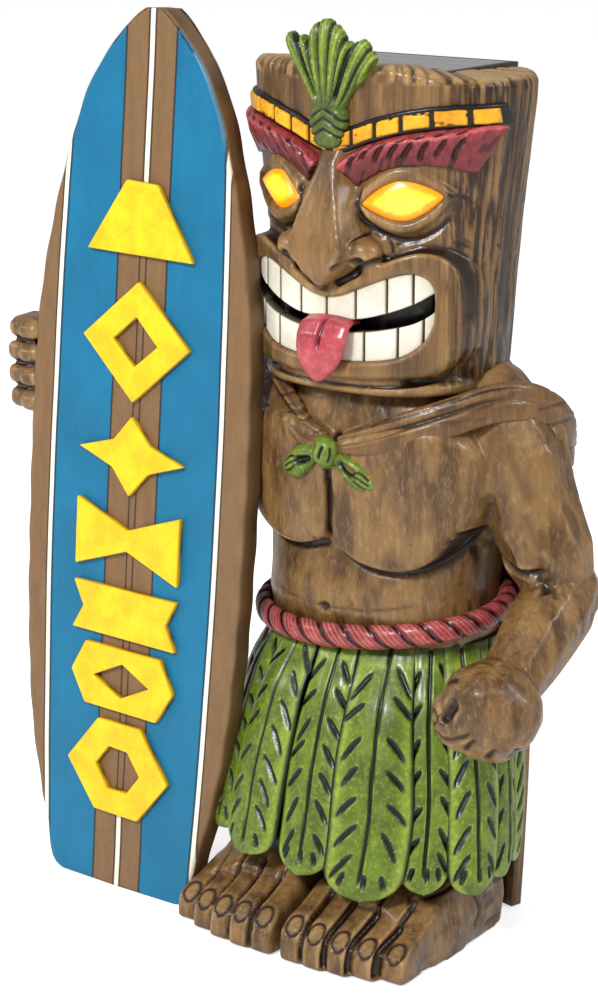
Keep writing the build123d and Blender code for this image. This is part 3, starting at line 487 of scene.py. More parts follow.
# ------------------------------------------------------------ head
def log_size(rise):
    """Half width and half depth of the log at a height above the chin."""
    heights = (0, 4, 20, 40, 60, 80, 101, 104.7)
    width = np.interp(rise, heights, (39.5, 42, 43, 44.3, 46, 48.3, 50.7, 50.0))
    depth = np.interp(rise, heights, (30.5, 32.5, 33.4, 34.3, 35.2, 36.2, 37, 36.4))
    return width, depth


def on_log(x, rise, proud=0.0):
    """A point on the log's front, stood off square to its skin."""
    width, depth = log_size(rise)
    share = min(abs(x) / width, 0.995)
    y = -depth * (1 - share ** LOG_POWER) ** (1 / LOG_POWER)
    out = Vector((x / width ** 2, y / depth ** 2, 0)).normalized()
    return Vector((x, y - LOG_SET_FORWARD, CHIN + rise)) + out * proud


def muzzle_front(x):
    """How far back the broad jaw's front lies at x."""
    return -LOG_SET_FORWARD - 41.5 * np.sqrt(np.clip(1 - (np.abs(x) / 53) ** 2, 0.05, 1))


def both_sides(right_half):
    """A closed outline from its right half, listed from top centre to bottom centre."""
    return np.array(right_half + [(-x, y) for x, y in reversed(right_half) if x > 0.1], float)


LIP_EDGE = rounded(both_sides([(0, 35.5), (7, 38.5), (16, 44.5), (25, 48.8), (32, 50.6), (38.5, 49),
                               (42.8, 43.5),
                               (44.2, 36), (44, 24), (42, 14.5), (36, 9), (26, 6.8), (12, 5.8), (0, 5.4)]),
                   4, closed=True)
MOUTH_EDGE = rounded(both_sides([(0, 32.4), (6, 33.3), (12, 35.8), (20, 39.3), (28, 41.8), (33, 40.6),
                                 (35.3, 36),
                                 (35.2, 27), (32, 19.5), (25, 14.8), (14, 12.9), (0, 12.3)]), 4, closed=True)


def inset(outline, amount):
    """The outline drawn in by an amount."""
    along = np.roll(outline, -1, axis=0) - np.roll(outline, 1, axis=0)
    square = np.stack([along[:, 1], -along[:, 0]], axis=1)
    return outline - amount * square / np.linalg.norm(square, axis=1)[:, None] * -1


def face_ring(outline, back):
    """A ring of points on the muzzle's front, or back from it."""
    return [(x, muzzle_front(x) + back, CHIN + rise) for x, rise in outline]


EYE_CENTRE = (24.7, 65.8)
EYE_HALF = 13.6
EYE_RISE = 6.9
EYE_TURN = radians(26.4)
EYE_TILT = radians(6.5)


def eye_frame(side):
    """The eye's centre, and its directions to the temple, up and out."""
    out = Vector((side * sin(EYE_TURN), -cos(EYE_TURN), 0))
    level = Vector((side * cos(EYE_TURN), sin(EYE_TURN), 0))
    up = Vector((0, 0, 1))
    temple = level * cos(EYE_TILT) + up * sin(EYE_TILT)
    rise = up * cos(EYE_TILT) - level * sin(EYE_TILT)
    centre = Vector((side * EYE_CENTRE[0], -33.3, CHIN + EYE_CENTRE[1]))
    return centre, temple, rise, out


def almond_height(u):
    """Half height of the almond at u, its corners at plus and minus one."""
    return np.clip(1 - np.abs(u) ** 1.75, 0, 1)


ALMOND = np.array([(EYE_HALF * cos(a), EYE_RISE * (1 if s > 0 else -1) * almond_height(cos(a)))
                   for a, s in ((tau * k / 72, sin(tau * k / 72 + 1e-6)) for k in range(72))])


def crown_lift(x, y):
    """How far the crown's brim rises above its level part, towards the front and the right temple."""
    return 4.2 * smooth(44, 20, x) * smooth(-12, -26, y)


def shape_head(shape):
    rings = []
    for rise in (0, 1.5, 5, 20, 40, 60, 80, 95, 102.5, 104.7):
        width, depth = log_size(rise)
        ease = 1.5 if rise in (0, 104.7) else 0
        ring = oval(CHIN + rise, width - ease, depth - ease, centre_y=-LOG_SET_FORWARD, count=96,
                    power=LOG_POWER)
        rings.append([(x, y, z + crown_lift(x, y) * smooth(84, 103, rise)) for x, y, z in ring])
    add_rings(shape, rings)
    bmesh.ops.triangulate(shape, faces=shape.faces)
    lips = [face_ring(LIP_EDGE * (0.97, 1), 34), face_ring(LIP_EDGE, 4), face_ring(inset(LIP_EDGE, 0.7), 1.2),
            face_ring(inset(LIP_EDGE, 2.2), 0.1), face_ring(inset(MOUTH_EDGE, -1.6), 0.2),
            face_ring(inset(MOUTH_EDGE, -0.4), 1.2), face_ring(MOUTH_EDGE, 9)]
    add_rings(shape, lips)
    add_rings(shape, [oval(CHIN + rise, half, 37.2 - back, centre_y=-3.5, count=64, power=2.6)
                      for rise, half,
                      back in ((0.4, 39, 2.2), (1.6, 40.6, 0.6), (3.6, 40.8, 0.4), (5, 40, 1.6))])
    nose = []
    for rise, plane, flank, forward in ((84, 2.0, 4.5, 38.4), (77, 2.6, 6.0, 42.0), (70, 4.8, 7.8, 44.6),
                                        (62, 7.4, 10.4, 46.8), (54, 9.6, 12.6, 48.8), (49, 10.4, 13.4, 49.8),
                                        (45, 8.4, 12.6, 49.4), (41, 4.8, 9.2, 48.0), (37, 1.2, 4.4, 45.8)):
        nose.append([(-flank - 2.6, -29, CHIN + rise), (-flank, -38.5, CHIN + rise),
                     (-plane, -forward, CHIN + rise),
                     (plane, -forward, CHIN + rise), (flank, -38.5, CHIN + rise),
                     (flank + 2.6, -29, CHIN + rise)])
    add_rings(shape, nose)
    for side in (1, -1):
        add_ball(shape, (side * 13.4, -39.8, CHIN + 48.3), (7.0, 6.2, 5.8), detail=2)
        centre, temple, rise, out = eye_frame(side)
        lids = []
        for grow, proud in ((6.0, -4.5), (5.2, -1.4), (3.4, 1.6), (1.4, 2.0), (0.1, 0.9), (-0.2, -4)):
            lids.append([centre + temple * (u * (EYE_HALF + grow) / EYE_HALF)
                         + rise * (v * (EYE_RISE + grow) / EYE_RISE) + out * (proud - 0.006 * u * u)
                         for u, v in ALMOND])
        add_rings(shape, lids, cap=False)
        bmesh.ops.holes_fill(shape, edges=[e for e in shape.edges if e.is_boundary], sides=0)


def carve_head():
    clay = Clay(solid(shape_head), 0.8, relax=2)
    clay.begin()
    x, y = clay.points[:, 0], clay.points[:, 1]
    rise = clay.points[:, 2] - CHIN
    on_face = np.stack([x, rise], axis=1)
    forward = smooth(-12, -22, y)

    # mouth hollow and nostrils, painted near-black and darker inside as painted shade
    mouth = depth_inside(on_face, MOUTH_EDGE)
    floor = smooth(1.2, 2.6, mouth) * (y > muzzle_front(x) + 4.5) * (y < -8)
    clay.points[:, 1] += 5.0 * floor
    # the set-back mouth hollow is painted near-black: painted shade
    clay.black_shade = np.maximum(clay.black_shade,
                           smooth(-0.6, 0.5, mouth) * (y > muzzle_front(x) + 2.2) * (y < -8) * 0.95)
    for ring_line in (LIP_EDGE, inset(LIP_EDGE, 4.6)):
        gap, along = reach(on_face, ring_line, closed=True)
        outer = ring_line is LIP_EDGE
        above = smooth(22, 30, rise) if outer else 0.35
        clay.cut(gap, np.full_like(gap, 0.5), 1.7 if outer else 0.8, 1.2 if outer else 0.3,
                 forward * above * smooth(8, 12, np.abs(x)), taper=0, wash_and_shade=0.9 if outer else 0.1)
    # darker inside the mouth outline: painted shade in the hollow
    clay.wash_and_shade = np.maximum(clay.wash_and_shade, 0.9 * smooth(-1.0, 0.2, mouth) * forward)
    for side in (1, -1):
        nostril, along = reach(clay.points, [(side * 8.8, -48, CHIN + 42.6), (side * 15.0, -45, CHIN + 45.4)])
        clay.cut(nostril, along, 3.2, 3.0, taper=0)
        # near-black in the nostrils: painted shade
        clay.black_shade = np.maximum(clay.black_shade, smooth(2.8, 1.4, nostril) * 0.9)
        lines = [
            (((11.4, 71), (11.8, 62), (14.6, 56), (20.4, 53)), 1.8, 1.4),
            (((11.2, 50.6), (12.4, 53.6), (16.4, 55.2), (20.2, 52), (20.8, 48), (19.4, 45)), 1.0, 0.7),
            (((3, 36.6), (8, 39.5), (13, 43), (19, 46)), 1.5, 1.3),
            (((11.5, 62), (15, 56.5), (22, 53), (29, 53), (35, 57), (39, 63.5)), 1.7, 1.4),
            (((37.5, 68.5), (41, 66.5), (44, 62.5)), 1.3, 0.9),
            (((21, 50.5), (25, 51.5), (31, 53)), 1.2, 0.8),
            (((36, 53), (41, 50), (44.5, 43), (45.5, 34)), 1.6, 1.2),
            (((39, 54), (43.5, 48), (46, 40)), 1.2, 0.8),
        ]
        for line, width, depth in lines:
            gap, along = reach(on_face, rounded([(side * u, v) for u, v in line], 6))
            clay.cut(gap, along, width, depth, forward, wash_and_shade=0.95)
    gap, along = reach(on_face, rounded([(-40, 8.5), (-30, 5.2), (-14, 3.9), (0, 3.6), (14, 3.9), (30, 5.2),
                                         (40, 8.5)], 5))
    clay.cut(gap, along, 1.1, 1.0, forward, taper=0.04)

    # split grain down the sides and back, and sparse cuts on the forehead
    angle = np.arctan2(x, -(y + LOG_SET_FORWARD))
    girth = angle * 44
    wavy = girth + 2.4 * (noise(np.stack([x, y, rise], 1), (40, 40, 44)) - 0.5)
    for pitch, seed, depth, reach_down in ((3.4, 11, 0.75, 78.0), (1.7, 53, 0.5, 52.0),
                                           (1.1, 91, 0.25, 30.0)):
        strand = noise(np.stack([wavy + seed, np.zeros_like(rise), rise], 1), (pitch, 1, reach_down))
        line = smooth(0.13, 0.0, np.abs(strand - 0.5))
        side_grain = smooth(0.75, 1.15, np.abs(angle)) * smooth(1.5, 6, rise) * smooth(104.5, 103, rise)
        brow_grain = 0.55 * (rise > 88) * smooth(0.62, 0.5,
                                                 noise(np.stack([wavy, x * 0, rise * 0], 1), (9, 1, 1)))
        where = np.maximum(side_grain, brow_grain * smooth(104.5, 103.5, rise))
        clay.sink = np.maximum(clay.sink, depth * line * where)
        clay.wash_and_shade = np.maximum(clay.wash_and_shade, 0.8 * line * where)

    # pocket for the solar tray, radial cuts and pale rim on the crown
    top = smooth(102.6, 103.8, rise)
    lifted = crown_lift(x, y)
    clay.wear_and_highlight = np.maximum(clay.wear_and_highlight, smooth(102.5 + lifted * 0.95, 104.0 + lifted, rise))
    pocket = (np.abs(x) < 30.9) & (np.abs(y - 5) < 21.9) & (rise > 101)
    spoke = noise(np.stack([angle * 30, x * 0, x * 0 + 3], 1), (1.6, 1, 1))
    ray = smooth(0.16, 0.0, np.abs(spoke - 0.5)) * top
    clay.sink = np.maximum(clay.sink, 0.7 * ray)
    clay.wash_and_shade = np.maximum(clay.wash_and_shade, 0.7 * ray)
    clay.press()
    clay.points[pocket, 2] = CHIN + 95.5
    clay.relax(1, 0.4)
    clay.weather()
    clay.wear_and_highlight = np.maximum(clay.wear_and_highlight, 0.9 * top * smooth(0.42, 0.5, noise(clay.points, 1.6)))
    return piece("head_carving", clay.finished(), LOG_BROWN, "figure", "carved_brown", "head_shell")


def make_eye(side, name, node):
    """A domed almond lens set in its lids."""
    centre, temple, rise, out = eye_frame(side)

    def shape_lens(shape):
        rings = []
        for grow, proud in ((0.6, -3.2), (0.6, -0.8), (-0.4, 0.2), (-2.2, 1.1), (-4.6, 1.7)):
            rings.append([centre + temple * (u * (EYE_HALF + grow) / EYE_HALF)
                          + rise * (v * (EYE_RISE + grow) / EYE_RISE) + out * proud for u, v in ALMOND])
        add_rings(shape, rings)
        bmesh.ops.triangulate(shape, faces=shape.faces)

    clay = Clay(solid(shape_lens), 0.5, relax=3)
    local = np.stack([(clay.points - np.array(centre)) @ np.array(temple),
                      (clay.points - np.array(centre)) @ np.array(rise)], axis=1)
    # orange towards the rim and yellow in the middle: painted falloff of the light shining from behind, kept
    # in the wash layer
    clay.wash_and_shade = smooth(5.5, 0.3, depth_inside(local, ALMOND))
    return piece(name, clay.finished(), EYE_GLOW, "figure", "eye_glow", node)


# ------------------------------------------------------------ torso and arms
def chest_front(x, deep=21.5):
    """How far forward the chest plates stand at x."""
    return -20 - deep * np.sqrt(np.clip(1 - (np.abs(x) / 51) ** 2, 0.02, 1))


def add_plate(shape, outline, front, steps):
    """A pillow over an outline in x and z; steps are (scale, set back)."""
    middle = outline.mean(axis=0)
    add_rings(shape, [[(x, front(x) + back, z) for x, z in middle + (outline - middle) * scale]
                      for scale, back in steps])


PILLOW = ((1.04, 16), (1.02, 6), (1.0, 3.2), (0.96, 1.4), (0.88, 0.4), (0.7, 0), (0.35, 0))
LEFT_CHEST = rounded([(0.5, 176), (0.6, 160), (0.6, 146), (5, 139), (14, 135.2), (26, 134.2), (35, 137.5),
                      (43, 146), (49, 158), (50, 172), (40, 184), (20, 184)], 4, closed=True)
RIGHT_CHEST = rounded([(-0.5, 176), (-0.8, 160), (-1.2, 146), (-6, 140.6), (-15, 138.4), (-25, 140),
                       (-34, 145.5),
                       (-41, 154), (-45, 166), (-40, 180), (-20, 184)], 4, closed=True)
LEFT_UPPER_ARM = [((38, -2, 188), 12, 15), ((47, -2, 183), 14, 17), ((52, -1, 172), 16, 18.5),
                  ((55, 0, 160), 15.2, 18.5), ((58.5, 0, 149), 15.8, 18), ((63.5, 0, 139), 15.4, 16.5),
                  ((67, 1, 130), 12.5, 13)]
LEFT_FOREARM = [((67.5, 9, 132), 9, 9), ((68.2, 5, 128), 12, 12.5), ((68.5, -4, 122), 13.6, 14),
                ((68.5, -15, 115.5), 13.4, 14), ((68.5, -25, 108.5), 12.2, 12.5),
                ((68.3, -31.5, 104.5), 11.4, 11.4)]
FIST = (68.3, -43, 97)
RIGHT_UPPER_ARM = [((-38, -2, 188), 12, 15), ((-48, -1, 183), 14, 17), ((-57, 0, 174), 15.5, 17.5),
                   ((-70, 1, 163), 14.5, 16), ((-82, 2, 154), 13.5, 15), ((-90, 2, 149), 11, 13)]
RIGHT_FOREARM = [((-84, 3, 147), 10, 11), ((-91, 2, 150), 12, 12.5), ((-101, 0, 160), 11.5, 12),
                 ((-112, -8, 171), 10.5, 11), ((-121, -18, 180), 9.5, 10.5)]


def shape_body(shape):
    add_rings(shape, [oval(WAIST + rise, half, deep, centre_y=back, count=64, power=2.35)
                      for rise, half, deep, back in (
        (0, 41.5, 27, -3), (6, 42, 30, -4.5), (14, 41.5, 33, -5), (22, 41, 33, -4.5), (32, 42.5, 31.5, -3.5),
        (46, 46.5, 30, -3), (58, 49.5, 30, -3), (70, 52, 31, -3), (79, 51, 30.5, -2.5), (86, 44, 29, -2),
        (90, 37, 27.5, -1.5), (92.5, 33, 25, -1))])
    add_plate(shape, LEFT_CHEST, chest_front, PILLOW)
    add_plate(shape, RIGHT_CHEST, lambda x: chest_front(x, 20.5), PILLOW)
    for stations, roll in ((LEFT_UPPER_ARM, 0.3), (LEFT_FOREARM, 0.15), (RIGHT_UPPER_ARM, 0.2),
                           (RIGHT_FOREARM, 0.1)):
        add_rings(shape, limb_rings(stations, count=9, roll=roll))
    add_ball(shape, FIST, (17.6, 15.6, 17.8), Matrix.Rotation(0.35, 4, "Z") @ Matrix.Rotation(0.2, 4, "Y"),
             detail=2)
    add_ball(shape, (FIST[0] - 1.5, FIST[1] - 3.5, FIST[2] + 5), (14, 12.6, 12), detail=2)
    add_ball(shape, (FIST[0] - 9.5, FIST[1] - 9, FIST[2] - 3.5), (6.5, 6, 10.5),
             Matrix.Rotation(-0.45, 4, "Y"), detail=3)
    for side in (1, -1):
        add_rings(shape, limb_rings([((side * 30, 2, 196), 11, 13), ((side * 42, 1, 193), 9, 13),
                                     ((side * 52, 0, 186), 7, 13)], count=10))
    # the palm and four fingers round the board's far edge
    add_ball(shape, (-126, -27, 187), (8, 9, 17), detail=3)
    for index in range(4):
        height = 173.6 + 8.7 * index
        wide = (6.4, 7.4, 7.6, 6.6)[index]
        add_block(shape, (-134.5 - 0.35 * wide, -33.5, height), (wide + 6, 17, 7.9),
                  Matrix.Rotation(0.08 * (index - 1.5), 4, "Z"), bevel=2.2, segments=1)
        add_block(shape, (-131, -41.5, height), (8.5 + 0.3 * wide, 7, 7.7), bevel=2.4, segments=1)
    add_ball(shape, (-121, -30, 208), (6.4, 7, 7.5), detail=2)


def carve_body():
    clay = Clay(solid(shape_body), 0.9, relax=2)
    clay.begin()
    x, y, z = clay.points.T
    front = smooth(-6, -14, y)
    face_on = np.stack([x, z], axis=1)
    torso_only = front * smooth(50, 47, x) * smooth(-60, -56, x)
    lines = [
        (((0.2, 182), (-0.4, 170), (0.2, 158), (0, 147), (-0.6, 139)), 2.2, 2.4, torso_only),
        (((-1.5, 141.5), (5, 138.2), (14, 134.4), (26, 133.4), (36, 136.6), (43.5, 145), (47, 153)), 2.3,
         1.8, torso_only),
        (((1, 141), (-6, 139.4), (-15, 137.2), (-25, 138.6), (-34.5, 144), (-42, 153)), 2.1, 1.6, torso_only),
        (((43, 150), (42.4, 142), (42, 134), (42, 127), (45, 125)), 1.4, 1.0, torso_only),
        (((-38, 124), (-20, 119.5), (0, 118.6), (20, 120.4), (36, 124.5)), 1.3, 0.35, torso_only * 0.6),
        (((44, 152), (48, 142.5), (55, 137.2), (62, 135.4), (68, 136.6), (71.5, 139)), 2.6, 2.6,
         smooth(42, 44, x) * front),
        (((66, 134.5), (69.5, 133), (71.5, 130)), 2.2, 1.4, smooth(60, 62, x) * front),
        (((55, 183), (58.5, 174), (62, 166), (64, 158)), 3.4, 0.5, front),
        (((62, 158), (66, 150), (70, 144)), 3.6, 0.6, front),
        (((50, 163), (53, 156), (58, 150)), 4.4, 0.4, front),
    ]
    for line, width, depth, where in lines:
        gap, along = reach(face_on, rounded(line, 6))
        clay.cut(gap, along, width, depth, where, wash_and_shade=0.35 if width > 3 else 1.0)
    # navel with its small radiating cuts
    for turn in np.linspace(0, pi, 4, endpoint=False):
        run = 4.4 * np.array([cos(turn), 0.75 * sin(turn)])
        gap, along = reach(face_on, [(-3.2 - run[0], 118 - run[1]), (-3.2 + run[0], 118 + run[1])])
        clay.cut(gap, along, 1.1, 1.1, torso_only, taper=0.4)
    gap, along = reach(face_on, [(-3.6, 118), (-2.8, 118)])
    clay.cut(gap, along, 2.6, 2.2, torso_only, taper=0)
    # wrist line, thumb hollow and finger lines of the fist
    fist = smooth(-22, -26, y) * smooth(46, 48, x)
    gap, along = reach(clay.points,
                       rounded([(58, -40, 116), (62, -43, 114.5), (69, -43, 112.5), (76, -38.5, 108.5),
                                             (81, -31, 102)], 8))
    clay.cut(gap, along, 1.7, 1.3, 1.0, taper=0.05)
    for line, width, depth in (
            (((58.6, 95), (60.8, 99.5), (63.6, 104)), 3.4, 2.6),
            (((53.5, 92.5), (57, 89.8), (61, 89.4), (66, 91.5), (70.5, 94.6)), 1.3, 1.1),
            (((51.8, 96.5), (54.4, 98.2), (56.3, 95.6), (54.3, 93.4), (52.2, 94.4)), 0.9, 0.8),
            (((64.5, 85), (67.5, 88.2), (71, 91.4)), 1.5, 1.3),
            (((70, 82), (73.2, 85), (77, 88.6)), 1.5, 1.3),
            (((76.6, 82.4), (79, 84.8), (82, 88.6)), 1.3, 1.1),
            (((57.5, 87), (60.5, 84.4), (64.5, 82.2)), 1.2, 0.9),
            (((57, 107), (60, 109), (63, 109.4)), 1.2, 0.6)):
        gap, along = reach(face_on, rounded(line, 6))
        clay.cut(gap, along, width, depth, fist)
        if width > 3:
            clay.wash_and_shade = np.maximum(clay.wash_and_shade, 0.75 * smooth(1.0, 0.0, gap / width) * fist)
    # seams between the far hand's fingers
    hand = smooth(-116, -119, x)
    for index in range(1, 4):
        seam = np.abs(z - (169.3 + 8.7 * index) - 0.4 * np.sin(y * 0.7))
        clay.cut(seam, np.full_like(seam, 0.5), 1.3, 1.4, hand * smooth(-14, -20, y) * smooth(206, 203, z),
                 taper=0)
    # chisel strokes and rubbed patches
    stroke = noise(np.stack([x, y, z], 1) @ np.array([[0.9, 0.2, -0.3], [0.1, 1, 0], [0.4, 0, 0.9]]),
                   (2.0, 2.2, 9))
    patch = smooth(0.5, 0.7, noise(clay.points + 40, 14))
    clay.sink = np.maximum(clay.sink, 0.28 * smooth(0.62, 0.75, stroke) * patch)
    clay.wash_and_shade = np.maximum(clay.wash_and_shade, 0.45 * smooth(0.6, 0.78, stroke) * patch)
    clay.press()
    clay.relax(1, 0.35)
    clay.weather()
    return piece("body_carving", clay.finished(), CARVED_BROWN, "figure", "carved_brown",
                 "torso_shell", "left_arm", "right_arm")


# ------------------------------------------------------------ feet
def add_foot(shape, side):
    """Five square toes, a rising instep and the heel."""
    pitch = 9.35
    for toe in range(5):
        x = side * (6.4 + pitch * toe)
        reach_out = (71.5, 71.8, 70.6, 68.2, 64.6)[toe]
        high = (15.5, 15, 14.2, 13.2, 12.2)[toe]
        half = 4.9
        knuckle = 20.5 - 1.1 * toe
        rings = []
        for y, low, top, wide in ((-reach_out, 1.2, high * 0.45, half * 0.72),
                                  (-reach_out + 1.6, 0.3, high * 0.8, half * 0.95),
                                  (-reach_out + 5.5, 0, high, half), (-reach_out + 12, 0, high + 2.2, half),
                                  (-reach_out + 22, 0, knuckle + 2.5, half), (-30, 0, knuckle + 5.5, half)):
            lean = side * (y + reach_out) * -0.02 * (toe - 1.5)
            rings.append([(x + lean + wide * u, y, low + (top - low) * v) for u, v in (
                (-1, 0.05), (-1, 0.82), (-0.84, 0.95), (-0.5, 1), (0.5, 1), (0.84, 0.95), (1, 0.82),
                (1, 0.05),
                (0.8, 0), (-0.8, 0))])
        add_rings(shape, rings)
    add_rings(shape, [[(side * u, y, v) for u, v in ring] for y, ring in (
        (-52, ((2, 1), (2, 17), (10, 22), (30, 21), (43, 15), (46, 8), (46.5, 1))),
        (-44, ((2, 0), (2, 22), (10, 27), (30, 26), (44, 19), (48, 10), (48.5, 0))),
        (-30, ((2, 0), (2, 28), (10, 33), (32, 32), (46, 24), (49.5, 11), (49, 0))),
        (-14, ((2, 0), (2, 32), (10, 36), (34, 35), (47, 28), (49, 12), (48, 0))),
        (0, ((2, 0), (2, 32), (10, 34), (34, 34), (46, 27), (48.5, 12), (47, 0))),
        (7, ((2, 1), (2, 30), (10, 31), (32, 30), (42, 24), (44, 12), (43, 1))))])
    add_ball(shape, (side * 44.5, -12, 17), (5.5, 7, 6.5), detail=3)


def pocketed(mesh, spare, *nodes):
    """The mesh with room cut upwards from the floor for these nodes, and spare millimetres round them."""
    lows, highs = zip(*(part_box(node) for node in nodes))
    low = (np.min(lows, axis=0) - np.array(CENTRE)) / MM - spare
    high = (np.max(highs, axis=0) - np.array(CENTRE)) / MM + spare
    low[2] = -1.0
    room = bpy.data.objects.new("room", solid(lambda shape: add_block(shape, tuple((low + high) / 2),
                                                                      tuple(high - low))))
    bpy.context.scene.collection.objects.link(room)
    cut = applied(mesh, ("BOOLEAN", {"operation": "DIFFERENCE", "object": room, "solver": "EXACT"}))
    bpy.data.objects.remove(room)
    return cut


def carve_foot(side, name, node):
    clay = Clay(solid(lambda shape: add_foot(shape, side)), 0.75, relax=2)
    clay.begin()
    x, y, z = clay.points.T
    x = x * side
    plan = np.stack([x, y], axis=1)
    up = smooth(0.5, 2, z)
    for toe in range(1, 5):
        line = 6.4 + 9.35 * (toe - 0.5)
        back = (-46, -44, -42, -40)[toe - 1]
        bend = 0.35 * (toe - 2)
        gap, along = reach(plan, [(line, -76), (line, -60), (line + bend, back)])
        clay.cut(gap, np.where(along < 0.5, 0.5, along), 1.5, 2.2, up, taper=0.2)
    for toe in range(5):
        middle = 6.4 + 9.35 * toe
        reach_out = (71.5, 71.8, 70.6, 68.2, 64.6)[toe]
        high = (15.5, 15, 14.2, 13.2, 12.2)[toe]
        nail = np.array([(middle + 3.1 * cos(a), 4.3 * sin(a)) for a in np.linspace(0, tau, 24,
                                                                                    endpoint=False)])
        slope = np.stack([x, (y + reach_out - 3.4) * 0.72 + (z - high * 0.86) * 0.72], axis=1)
        near = smooth(10, 8, y + reach_out) * up * smooth(4.9, 4.4, np.abs(x - middle)) * smooth(3.5, 5, z)
        rim, along = reach(slope, nail, closed=True)
        clay.cut(rim, along, 1.0, 0.85, near, taper=0)
        inside = depth_inside(slope, nail)
        clay.sink = np.maximum(clay.sink, 0.5 * smooth(0, 0.6, inside) * near)
        clay.wear_and_highlight = np.maximum(clay.wear_and_highlight, 0.35 * smooth(0.6, 1.6, inside) * near)
    for line, width, depth in (
            (((36, -40), (41, -34), (43, -26)), 1.2, 0.7), (((40, -42), (45, -32), (46, -22)), 1.0, 0.6),
            (((30, -36), (36, -30), (40, -20)), 1.0, 0.5)):
        gap, along = reach(plan, rounded(line, 5))
        clay.cut(gap, along, width, depth, up)
    crack, along = reach(np.stack([y, z], axis=1), rounded([(-21, 4), (-17, 12), (-19, 20), (-16, 30)], 5))
    clay.cut(crack, along, 1.1, 0.8, smooth(30, 34, x))
    strand = noise(np.stack([x, y, z], 1), (2.2, 8, 2.4))
    patch = smooth(0.45, 0.65, noise(clay.points + 9, 9)) * smooth(20, 32, x + 0.4 * (y + 40))
    clay.sink = np.maximum(clay.sink, 0.45 * smooth(0.6, 0.72, strand) * patch)
    clay.wash_and_shade = np.maximum(clay.wash_and_shade, 0.8 * smooth(0.58, 0.75, strand) * patch)
    clay.press()
    clay.points[:, 2] = np.maximum(clay.points[:, 2], 0.05)
    clay.relax(1, 0.3)
    clay.weather()
    # darker towards the floor: painted shade where the foot meets the ground
    clay.wash_and_shade = np.maximum(clay.wash_and_shade, 0.55 * smooth(4, 0, clay.points[:, 2]))
    mesh = pocketed(clay.finished(), 1.5, "battery_box", "battery_cover", "switch_body", "switch_knob")
    return piece(name, mesh, CARVED_BROWN, "figure", "carved_brown", node)


# ------------------------------------------------------------ skirt of leaves
def sheet_mesh(across, along, place, thick):
    """A closed sheet from a grid: place takes u in -1..1 and v in 0..1 and gives points."""
    shape = bmesh.new()
    bmesh.ops.create_grid(shape, x_segments=across, y_segments=along, size=1.0)
    spots = np.array([vert.co[:2] for vert in shape.verts])
    points, layers = place(spots[:, 0], (spots[:, 1] + 1) / 2)
    for vert, point in zip(shape.verts, points):
        vert.co = point
    bmesh.ops.recalc_face_normals(shape, faces=shape.faces)
    mesh = bpy.data.meshes.new("sheet")
    shape.to_mesh(mesh)
    shape.free()
    paint_layers(mesh, *(layers.get(name, np.zeros(len(points))) for name in ("wash_and_shade", "wear_and_highlight", "black_shade")))
    return applied(mesh, ("SOLIDIFY", {"thickness": thick, "offset": -1.0, "use_even_offset": False}))


def joined(meshes):
    """One mesh from many."""
    shape = bmesh.new()
    for mesh in meshes:
        shape.from_mesh(mesh)
    mesh = bpy.data.meshes.new("joined")
    shape.to_mesh(mesh)
    shape.free()
    return mesh


def skirt_skin(angle, height):
    """A point on the skirt's plain outside, angle from the front towards the figure's left."""
    share = (height - 27) / (WAIST - 27)
    swell = 2.4 * np.sin(pi * np.clip(share, 0, 1))
    width = 57.5 + (43.8 - 57.5) * share + swell
    depth = 39.5 + (31.0 - 39.5) * share + swell
    middle = -21 + (-3.5 + 21) * np.clip(share, 0, None) ** 0.9
    return np.stack([width * np.sin(angle), middle - depth * np.cos(angle), height], axis=1)


# (angle at the waist, angle at the tip, tip height, half width, how proud, top height)
LEAVES = [
    (-150, -142, 30, 10.6, 0.5), (-128, -119, 29, 10.6, 1.8), (-106, -97, 30, 10.6, 0.4),
    (-85, -76, 31, 10, 1.9),
    (-66, -61, 32, 9.6, 0.4), (-46, -43, 32.5, 10.6, 1.5), (-23, -22, 30, 13.2, 3.0), (1, 3, 28.5, 11.0, 0.9),
    (26, 28, 24.6, 14.0, 3.2), (47, 51, 27, 9.4, 0.7), (66, 73, 25.5, 10.2, 2.2), (88, 94, 27, 9.6, 0.5),
    (109, 115, 27, 10.4, 1.8), (131, 137, 28, 10.4, 0.4), (152, 158, 28, 10.4, 1.8),
    (172, 180, 28, 10.6, 0.6),
]


